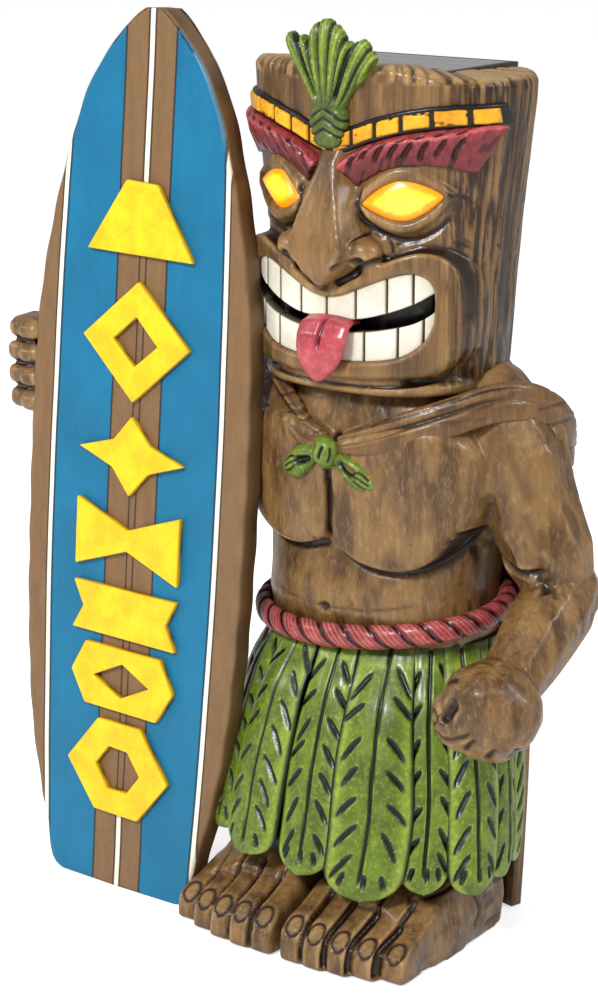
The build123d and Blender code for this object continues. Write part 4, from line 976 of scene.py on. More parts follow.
def make_leaf(index, leaf):
    """One broad leaf: crowned, with a cut vein, slanting nicks and a rounded tip."""
    start, end, tip, half, proud = leaf
    draw = np.random.default_rng(100 + index)
    nicks = []
    for side in (-1, 1):
        place = 0.05 + 0.05 * draw.random()
        while place < 0.82:
            long = 0.12 + 0.06 * draw.random()
            nicks.append((side, place, place + long, 0.16 + 0.1 * draw.random(), 0.76 + 0.18 * draw.random()))
            place += 0.1 + 0.05 * draw.random()
    for lean in (-0.55, 0.0, 0.5):
        nicks.append((1 if lean >= 0 else -1, 0.87, 0.96, abs(lean) * 0.7 + 0.02, abs(lean) + 0.06))

    def place_points(u, v):
        drop = 1 - v
        height = WAIST + 3 + (tip - WAIST - 3) * drop
        ease = smooth(0, 1, drop)
        angle = np.radians(start + (end - start) * ease)
        body_width = half * (0.74 + 0.26 * smooth(0, 0.7, drop))
        round_tip = np.sqrt(np.clip(1 - ((drop - 0.88) / 0.12) ** 2, 0, 1))
        width = body_width * np.where(drop > 0.88, round_tip, 1.0)
        wobble = 0.6 * np.sin(9 * drop + index) * drop
        shift = (u * width + wobble) / (44 + 14 * drop)
        base = skirt_skin(angle + shift * (1 / (0.55 + 0.45 * np.cos(angle) ** 2)) ** 0.5, height)
        ahead = skirt_skin(angle + shift + 0.01, height) - skirt_skin(angle + shift - 0.01, height)
        out = np.stack([-ahead[:, 1], ahead[:, 0], np.zeros_like(u)], axis=1)
        out *= np.sign((out * (base - [0, -12, 0])).sum(axis=1))[:, None]
        out /= np.linalg.norm(out, axis=1)[:, None]
        reach_u = u * width
        crown = 2.6 * (1 - np.abs(u) ** 2.4) * smooth(0, 0.25, drop) * np.where(drop > 0.9,
                                                                                0.45 + 0.55 * round_tip, 1)
        spot = np.stack([reach_u, drop * 78], axis=1)
        rise = proud * smooth(0, 0.3, drop) + crown
        wash_and_shade = np.zeros_like(u)
        cuts = np.zeros_like(u)
        vein = np.abs(reach_u - 0.9 * np.sin(3 * drop + index))
        vein_cut = np.clip(1 - vein / 1.05, 0, 1) * smooth(0.95, 0.9, drop)
        cuts = np.maximum(cuts, 1.3 * smooth(0, 1, vein_cut))
        wash_and_shade = np.maximum(wash_and_shade, smooth(0.1, 0.7, vein_cut))
        for side, top, foot, near, far in nicks:
            line = rounded([(side * near * half, top * 78),
                            (side * (near + far) / 2 * half, (top + foot) / 2 * 78 - 0.6),
                            (side * far * half, foot * 78)], 4)
            gap, along = reach(spot, line)
            cut = np.clip(1 - gap / 1.3, 0, 1) * smooth(0, 0.35, along) * smooth(0, 0.45, 1 - along)
            cuts = np.maximum(cuts, 1.25 * smooth(0, 1, cut))
            wash_and_shade = np.maximum(wash_and_shade, smooth(0.08, 0.5, cut))
        rim = np.abs(u)
        # darker along the rims, where the leaves meet and overlap, and at the top under the rope: painted
        # shade
        wash_and_shade = np.maximum(wash_and_shade, 0.9 * smooth(0.86, 1.0, rim) * smooth(0.97, 0.9, drop))
        wash_and_shade = np.maximum(wash_and_shade, 0.5 * smooth(0.12, 0.0, drop))
        fine = noise(np.stack([reach_u * 1.0, drop * 78, np.full_like(u, index * 7.0)], 1), (0.9, 9, 1))
        rise = rise - 0.16 * fine - cuts
        # a pale band along each cut's edge: painted highlight, stored with the wear
        edge_light = smooth(0.0, 0.12, wash_and_shade) * smooth(0.4, 0.1, wash_and_shade)
        wear_and_highlight = np.maximum(0.75 * edge_light, 0.55 * smooth(0.55, 0.85, rim) * smooth(1.0, 0.86, rim))
        return base + out * rise[:, None], {"wash_and_shade": wash_and_shade, "wear_and_highlight": wear_and_highlight}

    return sheet_mesh(44, 116, place_points, 1.6)


def make_skirt():
    def lining(u, v):
        height = 33 + (WAIST + 1.5 - 33) * v
        angle = u * pi * 0.985
        skin = skirt_skin(angle, height)
        middle = np.stack([np.zeros_like(u), -21 + 17.5 * ((height - 27) / (WAIST - 27)) ** 0.9, height],
                          axis=1)
        # the lining seen between the leaves is darkened all over: a sheet of painted shade
        return middle + (skin - middle) * 0.955, {"wash_and_shade": np.ones_like(u)}

    meshes = [sheet_mesh(96, 12, lining, 3.0)] + [make_leaf(index, leaf) for index, leaf in enumerate(LEAVES)]
    piece("skirt_of_leaves", joined(meshes), LEAF_GREEN, "figure", "leaf_green", "leaf_skirt")


# ------------------------------------------------------------ rope round the waist
def make_rope():
    """Two strands twisted round each other, dipping at the front."""
    turns = 30
    steps = 480
    angle = np.arange(steps) * tau / steps
    middle_back = -5.8
    middle = np.stack([46.3 * np.sin(angle), middle_back - 32.9 * np.cos(angle),
                       113.4 - 4.6 * np.cos(angle) + 3.8 * np.sin(angle)], axis=1)
    along = np.roll(middle, -1, axis=0) - np.roll(middle, 1, axis=0)
    along /= np.linalg.norm(along, axis=1)[:, None]
    out = np.stack([-along[:, 1], along[:, 0], np.zeros(steps)], axis=1)
    out *= np.sign((out * (middle - [0, middle_back, 113])).sum(axis=1))[:, None]
    up = np.cross(along, out)
    shape = bmesh.new()
    sides = 28
    rings = []
    attribute = []
    for index in range(steps):
        ring = []
        for k in range(sides):
            turn = tau * k / sides
            lobe = abs(sin(turn - turns * angle[index] / 2))
            fibre = 0.5 + 0.5 * sin(10 * (turn - turns * angle[index] / 2))
            size = 1 - 0.22 * (1 - lobe) ** 3 - 0.05 * fibre
            ring.append(middle[index] + out[index] * (3.5 * size * cos(turn))
                        + up[index] * (4.4 * size * sin(turn)))
            attribute.append((1 - lobe) ** 3 + 0.42 * fibre)
        rings.append(ring)
    rows = [[shape.verts.new(p) for p in ring] for ring in rings]
    for a, b in zip(rows, rows[1:] + rows[:1]):
        for k in range(sides):
            shape.faces.new((a[k], a[(k + 1) % sides], b[(k + 1) % sides], b[k]))
    bmesh.ops.recalc_face_normals(shape, faces=shape.faces)
    mesh = bpy.data.meshes.new("rope")
    shape.to_mesh(mesh)
    shape.free()
    wash_and_shade = np.array(attribute)
    paint_layers(mesh, smooth(0.25, 0.9, wash_and_shade), smooth(0.35, 0.1, wash_and_shade) * 0.7, wash_and_shade * 0)
    piece("twisted_rope", mesh, ROPE_RED, "figure", "rope_red", "waist_rope")


# ------------------------------------------------------------ cape, collar and bow
def make_cape():
    """A cape in long folds from the shoulders to the ground behind."""
    def place_points(u, v):
        height = 0.3 + 192 * v
        spread_out = smooth(0.35, 1.0, v)
        limit = radians(64) + radians(38) * smooth(0.55, 0.98, v)
        angle = u * limit
        width = 49 + 13.5 * smooth(0.4, 0.92, v) - 16 * smooth(0.93, 1.0, v)
        depth = 35 - 5 * spread_out - 8 * smooth(0.94, 1.0, v)
        folds = np.sin(angle * 11.5 + 0.6 * np.sin(v * 5)) + 0.45 * np.sin(angle * 23 + 2 * v)
        open_out = (1.9 - 0.9 * spread_out) * folds - 1.5
        x = (width + open_out) * np.sin(angle)
        y = -1.5 + (depth + open_out) * np.cos(angle)
        valley = smooth(0.2, -1.1, folds)
        fine = noise(np.stack([angle * 46, np.zeros_like(u), height], 1), (1.5, 1, 22))
        wash_and_shade = np.maximum(0.85 * valley, 0.5 * smooth(0.6, 0.75, fine))
        return np.stack([x, y, height], axis=1), {"wash_and_shade": wash_and_shade, "wear_and_highlight": 0.8 * smooth(0.7, 1.3, folds)}

    mesh = sheet_mesh(220, 90, place_points, 4.5)
    piece("cape_carving", mesh, CAPE_BROWN, "figure", "cape_brown", "cape")


def strap_rings(path, wide, thick, lean):
    """Rings for a folded strap lying on the body; lean tips its face up."""
    rings = []
    for index, point in enumerate(path):
        along = Vector(path[min(index + 1, len(path) - 1)]) - Vector(path[max(index - 1, 0)])
        out = Vector((point[0] * 0.55, point[1], 0)).normalized() + Vector((0, 0, lean))
        out = (out - along * out.dot(along) / along.length_squared).normalized()
        side = along.cross(out).normalized()
        share = index / (len(path) - 1)
        size = wide * (0.62 + 0.38 * smooth(0, 0.35, share))
        rings.append([Vector(point) + side * (size * cos(a)) + out * (thick * sin(a) * (1 + 0.16 * cos(3 * a)))
                      for a in (tau * k / 20 for k in range(20))])
    return rings


COLLAR_LEFT = rounded([(3, -39.5, 175.2), (14, -39.6, 177.6), (27, -36.5, 182.4), (40, -29, 187.4),
                       (50, -19, 191.6),
                       (57, -8, 191.2), (60.5, 3, 186), (60, 14, 178), (56, 22, 168)], 5)
COLLAR_RIGHT = rounded([(-3, -39.5, 175.6), (-12, -38.6, 178.2), (-22, -34.5, 184), (-33, -28, 189.6),
                        (-44, -19, 192),
                        (-52, -8, 190), (-56, 4, 185), (-57, 14, 178), (-54, 22, 168)], 5)


def make_collar():
    def shape_collar(shape):
        for path in (COLLAR_LEFT, COLLAR_RIGHT):
            add_rings(shape, strap_rings([tuple(p + np.array((0, 0.8, -1.2))) for p in path], 4.4, 2.6, 0.35))
            add_rings(shape, strap_rings([tuple(p + np.array((0, 2.4, 4.6 * min(1, 0.35 + k / 12))))
                                          for k, p in enumerate(path)], 3.4, 2.2, 0.6))

    clay = Clay(solid(shape_collar), 0.7, relax=2)
    clay.begin()
    x, y, z = clay.points.T
    for path in (COLLAR_LEFT, COLLAR_RIGHT):
        for lift, width, depth in ((2.6, 1.2, 1.5), (-2.6, 0.8, 0.6), (0.4, 0.6, 0.4), (6.0, 0.7, 0.5)):
            gap, along = reach(np.stack([x, y * 0.35, z], 1), path * (1, 0.35, 1) + (0, 0, lift))
            clay.cut(gap, along, width, depth, taper=0.04)
    strand = noise(np.stack([x * 0.5 + z, y, z - x * 0.35], 1), (9, 9, 1.3))
    clay.sink = np.maximum(clay.sink, 0.25 * smooth(0.6, 0.72, strand))
    clay.wash_and_shade = np.maximum(clay.wash_and_shade, 0.5 * smooth(0.58, 0.75, strand))
    clay.press()
    clay.relax(1, 0.3)
    clay.weather()
    piece("cape_collar_carving", clay.finished(), CAPE_BROWN, "figure", "cape_brown", "cape_collar")


def make_bow():
    def shape_knot(shape):
        add_ball(shape, (0.5, -42.2, 174.2), (4.7, 4.2, 5.8), Matrix.Rotation(-0.25, 4, "Y"), detail=4)

    clay = Clay(solid(shape_knot), 0.4, relax=1)
    clay.begin()
    face_on = clay.points[:, [0, 2]]
    for line, width, depth in ((((-0.6, 171.2), (0.4, 174), (1.6, 177.4)), 1.2, 1.6),
                               (((-3, 171), (-3, 174), (-1.4, 178)), 0.6, 0.5),
                               (((3.2, 170.6), (4.2, 174), (3.8, 177)), 0.6, 0.5)):
        gap, along = reach(face_on, rounded(line, 5))
        clay.cut(gap, along, width, depth)
    clay.press()
    clay.weather()
    piece("bow_knot_carving", clay.finished(), LEAF_GREEN, "figure", "leaf_green", "bow_knot")
    for side, name, node, drop in ((1, "bow_leaf_left_carving", "bow_leaf_left", 0.5),
                                   (-1, "bow_leaf_right_carving", "bow_leaf_right", -1.4)):
        outline = rounded([(side * 2.5, 173.5), (side * 6, 174.6 + drop * -0.6), (side * 11, 173.4 - drop),
                           (side * 16.5, 169.6 - drop),
                           (side * 19.8, 164.4 - drop * 0.6), (side * 16.5, 162.4 - drop * 0.4),
                           (side * 11, 162.9),
                           (side * 7, 166.4), (side * 3.6, 170.4)], 5, closed=True)
        middle = outline.mean(axis=0)

        def shape_bow(shape):
            add_rings(shape, [[(x, -39.2 - deep + 0.006 * (x * x - 100), z)
                               for x, z in middle + (outline - middle) * scale]
                              for scale, deep in ((0.94, -3.4), (1, -2), (1, 0.8), (0.93, 2.2), (0.78, 3.2),
                                                  (0.45, 3.9))])

        clay = Clay(solid(shape_bow), 0.42, relax=2)
        clay.begin()
        face_on = clay.points[:, [0, 2]]
        ahead = smooth(-38, -40, clay.points[:, 1])
        gap, along = reach(face_on, [(side * 6.8, 170.6), (side * 11, 168.8 - drop * 0.6)])
        clay.cut(gap, along, 2.5, 2.6, ahead, taper=0)
        # near-black along the deep fold: painted shade
        clay.black_shade = np.maximum(clay.black_shade, smooth(2.0, 0.8, gap) * ahead * 0.8)
        for offset in (-2.6, 0, 2.4):
            gap, along = reach(face_on, rounded([(side * 11.5, 168.2 + offset * 0.5 - drop),
                                                 (side * 15, 166.6 + offset - drop),
                                                 (side * 18, 164.6 + offset * 0.6 - drop)], 4))
            clay.cut(gap, along, 0.7, 0.6, ahead)
        clay.press()
        clay.relax(1, 0.3)
        clay.weather()
        piece(name, clay.finished(), LEAF_GREEN, "figure", "leaf_green", node)


# ------------------------------------------------------------ face pieces
def on_skin(outline, proud, scale=1.0):
    """An outline in x and rise laid on the log's front, drawn in about its middle."""
    spots = np.asarray(outline, float)
    middle = spots.mean(axis=0)
    return [on_log(x, rise, proud) for x, rise in middle + (spots - middle) * scale]


def band_rise(x):
    """Height of the headband's middle above the chin."""
    return np.interp(abs(x), (0, 4, 15, 25, 33, 41, 48), (82.2, 83.8, 88, 90.8, 92.3, 92.9, 93))


def make_band():
    def shape_band(shape):
        rings = []
        for x in np.linspace(-49.2, 49.2, 83):
            rise = band_rise(x)
            rings.append([on_log(x, rise + up, proud) for up, proud in (
                (-3.9, -2.5), (-4.0, 0.5), (-3.5, 1.1), (3.5, 1.1), (4.0, 0.5), (3.9, -2.5))])
        add_rings(shape, rings)
        bmesh.ops.triangulate(shape, faces=shape.faces)

    clay = Clay(solid(shape_band), 0.6, relax=1)
    clay.wash_and_shade = 0.35 + 0.6 * noise(clay.points, 2.5)
    clay.wear_and_highlight = 0.6 * smooth(0.6, 0.8, noise(clay.points + 5, (2, 2, 1.2)))
    piece("head_band_strap", clay.finished(), BAND_BLACK, "figure", "band_black", "head_band")

    def shape_beads(shape):
        for side in (1, -1):
            edge = 1.4
            for wide in (7.4, 8.0, 8.4, 8.8, 9.2, 8.0):
                far = min(edge + wide - 1.2, 48.0)
                run = np.linspace(edge, far, 5)
                lower = [(side * x, band_rise(x) - 2.5 + 0.12 * sin(7 * x)) for x in run]
                upper = [(side * x, band_rise(x) + 2.5 + 0.12 * cos(5 * x)) for x in run[::-1]]
                corners = lower + upper
                add_rings(shape, [on_skin(corners, proud, scale) for proud, scale in
                                  ((-0.6, 1.0), (1.3, 1.0), (1.9, 0.95), (2.15, 0.84), (2.2, 0.5))])
                edge = far + 1.2

    mesh = solid(shape_beads)
    clay = Clay(mesh, 0.42, relax=1)
    clay.begin()
    dent = noise(clay.points, (1.4, 2, 0.8))
    patch = smooth(0.55, 0.7, noise(clay.points + 3, (6, 6, 1.4)))
    clay.sink = 0.35 * smooth(0.66, 0.8, dent) * patch
    clay.wash_and_shade = 0.8 * smooth(0.64, 0.8, dent) * patch
    clay.press()
    piece("painted_beads", clay.finished(), BEAD_AMBER, "figure", "bead_amber", "band_beads")


BROW_TOP = np.array([(3.2, 77.8), (9, 81.2), (15, 84.0), (24, 86.8), (33, 88.6), (41, 89.6), (47.6, 90.2)])
BROW_RIDGE = np.array([(4.4, 75.6), (9, 79.0), (14.6, 82.2), (25, 85.0), (37, 86.6), (43, 88.0),
                       (48.6, 89.8)])
BROW_LOW = np.array([(9.8, 69.6), (13, 72), (16.4, 74), (22, 76.2), (28.5, 77.2), (35, 76.9), (43.0, 74.4)])


def make_brow(side, name, node):
    def shape_brow(shape):
        top, ridge, low = (rounded(line, 5) for line in (BROW_TOP, BROW_RIDGE, BROW_LOW))
        rings = []
        for index, (t, r, b) in enumerate(zip(top, ridge, low)):
            share = index / (len(top) - 1)
            lift = 5.2 - 1.0 * share
            points = [(b, -2.0), (b, 1.2), (b * 0.5 + r * 0.5, 3.6), (r, lift),
                      (t * 0.4 + r * 0.6, lift - 0.5),
                      (t, 2.2), (t, -2.0)]
            rings.append([on_log(side * x, rise, proud) for (x, rise), proud in points])
        add_rings(shape, rings)
        bmesh.ops.triangulate(shape, faces=shape.faces)

    clay = Clay(solid(shape_brow), 0.55, relax=2)
    clay.begin()
    face_on = np.stack([side * clay.points[:, 0], clay.points[:, 2] - CHIN], axis=1)
    cuts = [((x + 4.6, 84.2 + 0.09 * x - (2.4 if x < 12 else 0)),
             (x - 1.6, 76.4 + 0.05 * (x - 15) - (2 if x < 12 else 0)))
            for x in (9, 13.4, 17.8, 22.2, 26.8, 31.4, 36.0, 40.6)]
    for index, (upper, lower) in enumerate(cuts):
        draw = sin(index * 2.3)
        gap, along = reach(face_on,
                           [upper, (0.5 * upper[0] + 0.5 * lower[0] - 0.5, 0.5 * upper[1] + 0.5 * lower[1]),
                                     (lower[0], lower[1] + draw)])
        clay.cut(gap, along, 1.3, 1.5, taper=0.3)
    for x in (8, 13.5, 19, 24.5, 30, 35.5, 41):
        rise = np.interp(x, BROW_TOP[:, 0], BROW_TOP[:, 1])
        gap, along = reach(face_on, [(x, rise - 1.9), (x + 3.4, rise - 0.3)])
        clay.cut(gap, along, 0.8, 0.7, taper=0.3)
    strand = noise(np.stack([face_on[:, 0] * 0.9 - face_on[:, 1] * 0.5, clay.points[:, 1], face_on[:, 1]],
                            1), (1.0, 5, 5))
    clay.sink = np.maximum(clay.sink, 0.22 * smooth(0.6, 0.75, strand))
    ridge_rise = np.interp(face_on[:, 0], BROW_RIDGE[:, 0], BROW_RIDGE[:, 1])
    # darker below the ridge: painted shade under the brow
    below = smooth(0.5, -5, face_on[:, 1] - ridge_rise)
    clay.wash_and_shade = np.maximum(clay.wash_and_shade, 0.42 * below + 0.3 * smooth(0.58, 0.75, strand))
    clay.wear_and_highlight = np.maximum(clay.wear_and_highlight, 0.8 * smooth(1.2, 0.2, np.abs(face_on[:, 1] - ridge_rise)))
    clay.press()
    clay.relax(1, 0.3)
    clay.weather()
    piece(name, clay.finished(), BROW_RED, "figure", "brow_red", node)


UPPER_TOP = rounded([(0, 33.4), (6, 34.2), (12, 36.7), (20, 40.2), (28, 42.6), (33, 41.6), (36, 37)], 6)
UPPER_LOW = rounded([(0, 25.4), (11.7, 26.2), (22, 29), (30, 32.4), (36, 36.4)], 6)
LOWER_TOP = rounded([(0, 21.6), (10, 21.8), (20, 23.2), (30, 26), (36.4, 30.4)], 6)
LOWER_LOW = rounded([(0, 11.4), (14, 12), (25, 13.9), (32, 18.4), (36.2, 26)], 6)


def tooth_row(edges, top, low, name, node, drop):
    """Square teeth side by side, their faces following the jaw's curve."""
    def front(x):
        return muzzle_front(x) + 2.0

    def shape_teeth(shape):
        for start, end in zip(edges, edges[1:]):
            run = np.linspace(start + 0.3, end - 0.3, 7)
            upper = [(x, CHIN + np.interp(abs(x), top[:, 0], top[:, 1])) for x in run]
            lower = [(x, CHIN + np.interp(abs(x), low[:, 0], low[:, 1])) for x in run[::-1]]
            outline = np.array(upper + lower)
            middle = outline.mean(axis=0)
            size = np.maximum(outline.max(axis=0) - outline.min(axis=0), 1)
            rings = []
            for shrink, back in ((0.0, 5.0), (0.0, 0.9), (0.25, 0.3), (0.7, 0.05), (1.6, 0.0)):
                spots = middle + (outline - middle) * np.maximum(1 - 2 * shrink / size, 0.2)
                rings.append([(x, front(x) + back, z) for x, z in spots])
            add_rings(shape, rings)
        bmesh.ops.triangulate(shape, faces=[f for f in shape.faces if len(f.verts) > 4])

    mesh = solid(shape_teeth)
    points = np.array([vert.co for vert in mesh.vertices])
    rise = points[:, 2] - CHIN
    back = points[:, 1] - front(points[:, 0])
    lip = np.interp(np.abs(points[:, 0]), (top if drop > 0 else low)[:, 0], (top if drop > 0 else low)[:, 1])
    # darker where the teeth turn back into the mouth, along the lips and towards the corners, and near-black
    # on the set-back faces: painted shade
    wash_and_shade = np.maximum(smooth(0.15, 0.9, back), 0.35 * smooth(3.0, 0.5, np.abs(rise - lip)))
    wash_and_shade = np.maximum(wash_and_shade, 0.4 * smooth(28, 35, np.abs(points[:, 0])))
    paint_layers(mesh, wash_and_shade, wash_and_shade * 0, smooth(0.8, 2.4, back))
    piece(name, mesh, TEETH_IVORY, "figure", "teeth_ivory", node, shade=False)


def make_tongue():
    stations = [((1.6, -36, CHIN + 24.6), 9.0, 2.0), ((1.6, -41, CHIN + 25.0), 9.6, 2.2),
                ((1.6, -44.4, CHIN + 23.8), 9.9, 2.4), ((1.5, -46.2, CHIN + 20.4), 10.0, 2.5),
                ((1.3, -46.8, CHIN + 16.4), 9.7, 2.5), ((1.0, -46.9, CHIN + 12.6), 8.6, 2.4),
                ((0.6, -46.8, CHIN + 9.4), 6.6, 2.2), ((0.3, -46.6, CHIN + 6.8), 4.0, 1.8),
                ((0.0, -46.4, CHIN + 5.0), 1.4, 1.0)]

    def shape_tongue(shape):
        rings = []
        for index, (point, wide, deep) in enumerate(stations):
            along = Vector(stations[min(index + 1, 8)][0]) - Vector(stations[max(index - 1, 0)][0])
            side = Vector((1, 0, 0))
            out = side.cross(along).normalized()
            rings.append([Vector(point) + side * (wide * cos(tau * k / 28)) + out * (deep * sin(tau * k / 28))
                          for k in range(28)])
        add_rings(shape, rings)

    clay = Clay(solid(shape_tongue), 0.45, relax=3)
    clay.begin()
    face_on = np.stack([clay.points[:, 0], clay.points[:, 2] - CHIN], axis=1)
    ahead = smooth(-42, -44, clay.points[:, 1])
    gap, along = reach(face_on, [(1.9, 26), (1.7, 19), (1.0, 13.4)])
    clay.cut(gap, np.maximum(along, 0.4), 1.5, 1.5, ahead, taper=0.5)
    clay.press()
    clay.relax(1, 0.4)
    clay.weather(edge=0.4)
    # darker towards the root inside the mouth: painted shade
    clay.wash_and_shade = np.maximum(clay.wash_and_shade, 0.6 * smooth(-44, -40.5, clay.points[:, 1]))
    piece("tongue_carving", clay.finished(), TONGUE_PINK, "figure", "tongue_pink", "tongue")


CREST = rounded([(-5.5, 288.5), (-10.4, 297.2), (-13.4, 302.8), (-16, 307.1), (-16.6, 310.8), (-14.3, 312.6),
                 (-10.4, 311.9), (-7.4, 310.6), (-6.2, 313.8), (-3.5, 316.2), (0.1, 317.2), (3.1, 315.9),
                 (6.1, 312.8),
                 (8.4, 310.2), (13.0, 311.6), (16.2, 309.3), (18.6, 305.2), (16.6, 302.2), (12.7, 298.2),
                 (7.6, 292.6),
                 (5.6, 287.0), (3, 284), (-3, 284)], 3, closed=True)


def make_crest():
    """A fan of folded leaf tips bound at its foot."""
    root = np.array((0.0, 281.0))

    def shape_crest(shape):
        middle = np.array((0.5, 300))
        rings = []
        for scale, y in ((0.93, -36.8), (1.0, -37.8), (1.0, -40.2), (0.94, -41.4), (0.82, -42.4),
                         (0.6, -43.2), (0.3, -43.6)):
            rings.append([(x, y - 0.045 * (z - 286), z) for x, z in middle + (CREST - middle) * scale])
        add_rings(shape, rings)
        bmesh.ops.triangulate(shape, faces=shape.faces)

    clay = Clay(solid(shape_crest), 0.5, relax=2)
    clay.begin()
    face_on = clay.points[:, [0, 2]]
    spoke = face_on - root
    angle = np.degrees(np.arctan2(spoke[:, 0], spoke[:, 1]))
    far = np.linalg.norm(spoke, axis=1)
    fold = np.abs(((angle + 4.5) / 9.0) % 1 - 0.5) * 2
    clay.sink = 1.3 * smooth(0.35, 1.0, fold ** 2) * smooth(6, 16, far)
    clay.wash_and_shade = 0.85 * smooth(0.55, 1.0, fold) * smooth(5, 12, far)
    clay.wash_and_shade = np.maximum(clay.wash_and_shade, 0.7 * smooth(14, 5, far))
    for lobe in (-20.5, 19.5):
        gap = np.abs(np.radians(angle - lobe)) * far
        clay.cut(gap, np.full_like(gap, 0.5), 1.5, 2.4, smooth(8, 13, far), taper=0)
    fine = np.abs(((angle + 1) / 3.0) % 1 - 0.5) * 2
    clay.sink = np.maximum(clay.sink, 0.35 * smooth(0.5, 1, fine) * smooth(8, 14, far))
    clay.wash_and_shade = np.maximum(clay.wash_and_shade, 0.3 * smooth(0.6, 1, fine))
    clay.wear_and_highlight = 0.75 * smooth(0.35, 0.0, fold) * smooth(9, 20, far)
    clay.press()
    clay.relax(1, 0.3)
    clay.weather()
    piece("leaf_crest_carving", clay.finished(), LEAF_GREEN, "figure", "leaf_green", "leaf_crest")

    def shape_binding(shape):
        rings = []
        for z, wide, deep in ((275.6, 3.4, 2.0), (277, 5.2, 3.2), (280, 6.4, 4.0), (284, 7.2, 4.4),
                              (287.6, 7.0, 4.2),
                              (289.4, 5.6, 3.2)):
            rings.append(oval(z, wide, deep, centre_y=-39.6, count=24, power=2.6))
        add_rings(shape, rings)

    clay = Clay(solid(shape_binding), 0.45, relax=1)
    clay.begin()
    face_on = clay.points[:, [0, 2]]
    for drop, tall in ((0, 4.6), (-3.4, 4.6), (-6.2, 3.6)):
        gap, along = reach(face_on, [(-7, 284.6 + drop), (0, 284.6 + drop + tall), (7, 284.6 + drop)])
        clay.cut(gap, along, 0.85, 0.9, taper=0)
    clay.press()
    clay.weather()
    clay.wash_and_shade = np.maximum(clay.wash_and_shade, 0.35)
    piece("crest_binding_carving", clay.finished(), LEAF_GREEN, "figure", "leaf_green", "crest_binding")


# ------------------------------------------------------------ surfboard
LEAN_BACK = radians(3.4)
LEAN_IN = radians(1.6)
BOARD_FOOT = np.array((-83.7, -56.1, 0.0))
BOARD_UP = np.array((sin(LEAN_IN), cos(LEAN_IN) * sin(LEAN_BACK), cos(LEAN_IN) * cos(LEAN_BACK)))
BOARD_ACROSS = np.array((cos(LEAN_IN), -sin(LEAN_IN) * sin(LEAN_BACK), -sin(LEAN_IN) * cos(LEAN_BACK)))
BOARD_OUT = np.array((0.0, -cos(LEAN_BACK), sin(LEAN_BACK)))
BOARD_SIDE = rounded([(27.5, 0.0), (31.2, 2.2), (33.6, 9), (35.6, 19), (38.6, 29), (44.6, 57), (48, 96),
                      (49, 140),
                      (49, 168), (48, 203), (45.2, 227), (40.6, 250), (35.8, 268), (29.8, 286), (21.8, 300),
                      (14, 309),
                      (8, 314.6), (3.2, 317.6)], 8)


def board_place(across, up, out):
    """A point of the board's own plane, in the figure's frame."""
    return BOARD_FOOT + np.outer(across, BOARD_ACROSS) + np.outer(up, BOARD_UP) + np.outer(out, BOARD_OUT)


def make_board():
    thick = 11.0
    section = [(-1.0, -8.6, 0), (-1.0, -2.0, 0), (-1.0, -0.7, 0.35), (-1.0, 0.0, 1.3)]
    section += [(share, 0.0, 0) for share in np.linspace(-0.93, 0.93, 25)]
    section += [(1.0, 0.0, 1.3), (1.0, -0.7, 0.35), (1.0, -2.0, 0), (1.0, -8.6, 0), (1.0, -thick, 2.2)]
    section += [(share, -thick, 0) for share in np.linspace(0.9, -0.9, 13)] + [(-1.0, -thick, 2.2)]
    rows = []
    plan = []
    stations = np.concatenate([np.linspace(0, 12, 10), np.linspace(14, 300, 150),
                               np.linspace(301.2, 317.4, 16)])
    for up in stations:
        half = np.interp(up, BOARD_SIDE[:, 1], BOARD_SIDE[:, 0])
        spot = [(share * max(half - tuck, 0.4) + 0.22 * sin(up * 0.31 + share * 3) * abs(share) ** 6, up, out)
                for share, out, tuck in section]
        rows.append(board_place(*np.array(spot).T))
        plan.append(spot)

    def shape_board(shape):
        add_rings(shape, [[tuple(point) for point in row] for row in rows])
        cut = bmesh.ops.bisect_plane(shape, geom=shape.verts[:] + shape.edges[:] + shape.faces[:],
                                     plane_co=(0, 0, 0), plane_no=(0, 0, -1), clear_outer=True)
        rim = [edge for edge in cut["geom_cut"] if isinstance(edge, bmesh.types.BMEdge)]
        bmesh.ops.holes_fill(shape, edges=rim)

    mesh = solid(shape_board)
    spots = np.array([vert.co for vert in mesh.vertices])
    local = spots - BOARD_FOOT
    across, up, out = local @ BOARD_ACROSS, local @ BOARD_UP, local @ BOARD_OUT
    mesh.attributes.new("board_plan", "FLOAT_VECTOR", "POINT").data.foreach_set(
        "vector", np.stack([across, up, out], axis=1).ravel())
    edge = np.interp(up, BOARD_SIDE[:, 1], BOARD_SIDE[:, 0]) - np.abs(across)
    front = smooth(-1.0, -0.3, out)
    side_face = smooth(-0.4, -1.6, out)
    # the side face is darkened a little all over as painted shade, with darker streaks of real paint, and more
    # towards the ground as painted shade
    wash_and_shade = np.maximum(0.25 * side_face, 0.7 * side_face * smooth(0.5, 0.8, noise(spots, (6, 6, 22))))
    wash_and_shade = np.maximum(wash_and_shade, 0.6 * smooth(5, 0, up) * side_face)
    paint_layers(mesh, wash_and_shade, 0.9 * front * smooth(1.4, 0.2, edge), wash_and_shade * 0)
    piece("surfboard_carving", mesh, BOARD_PAINT, "figure", "board_paint", "surfboard")


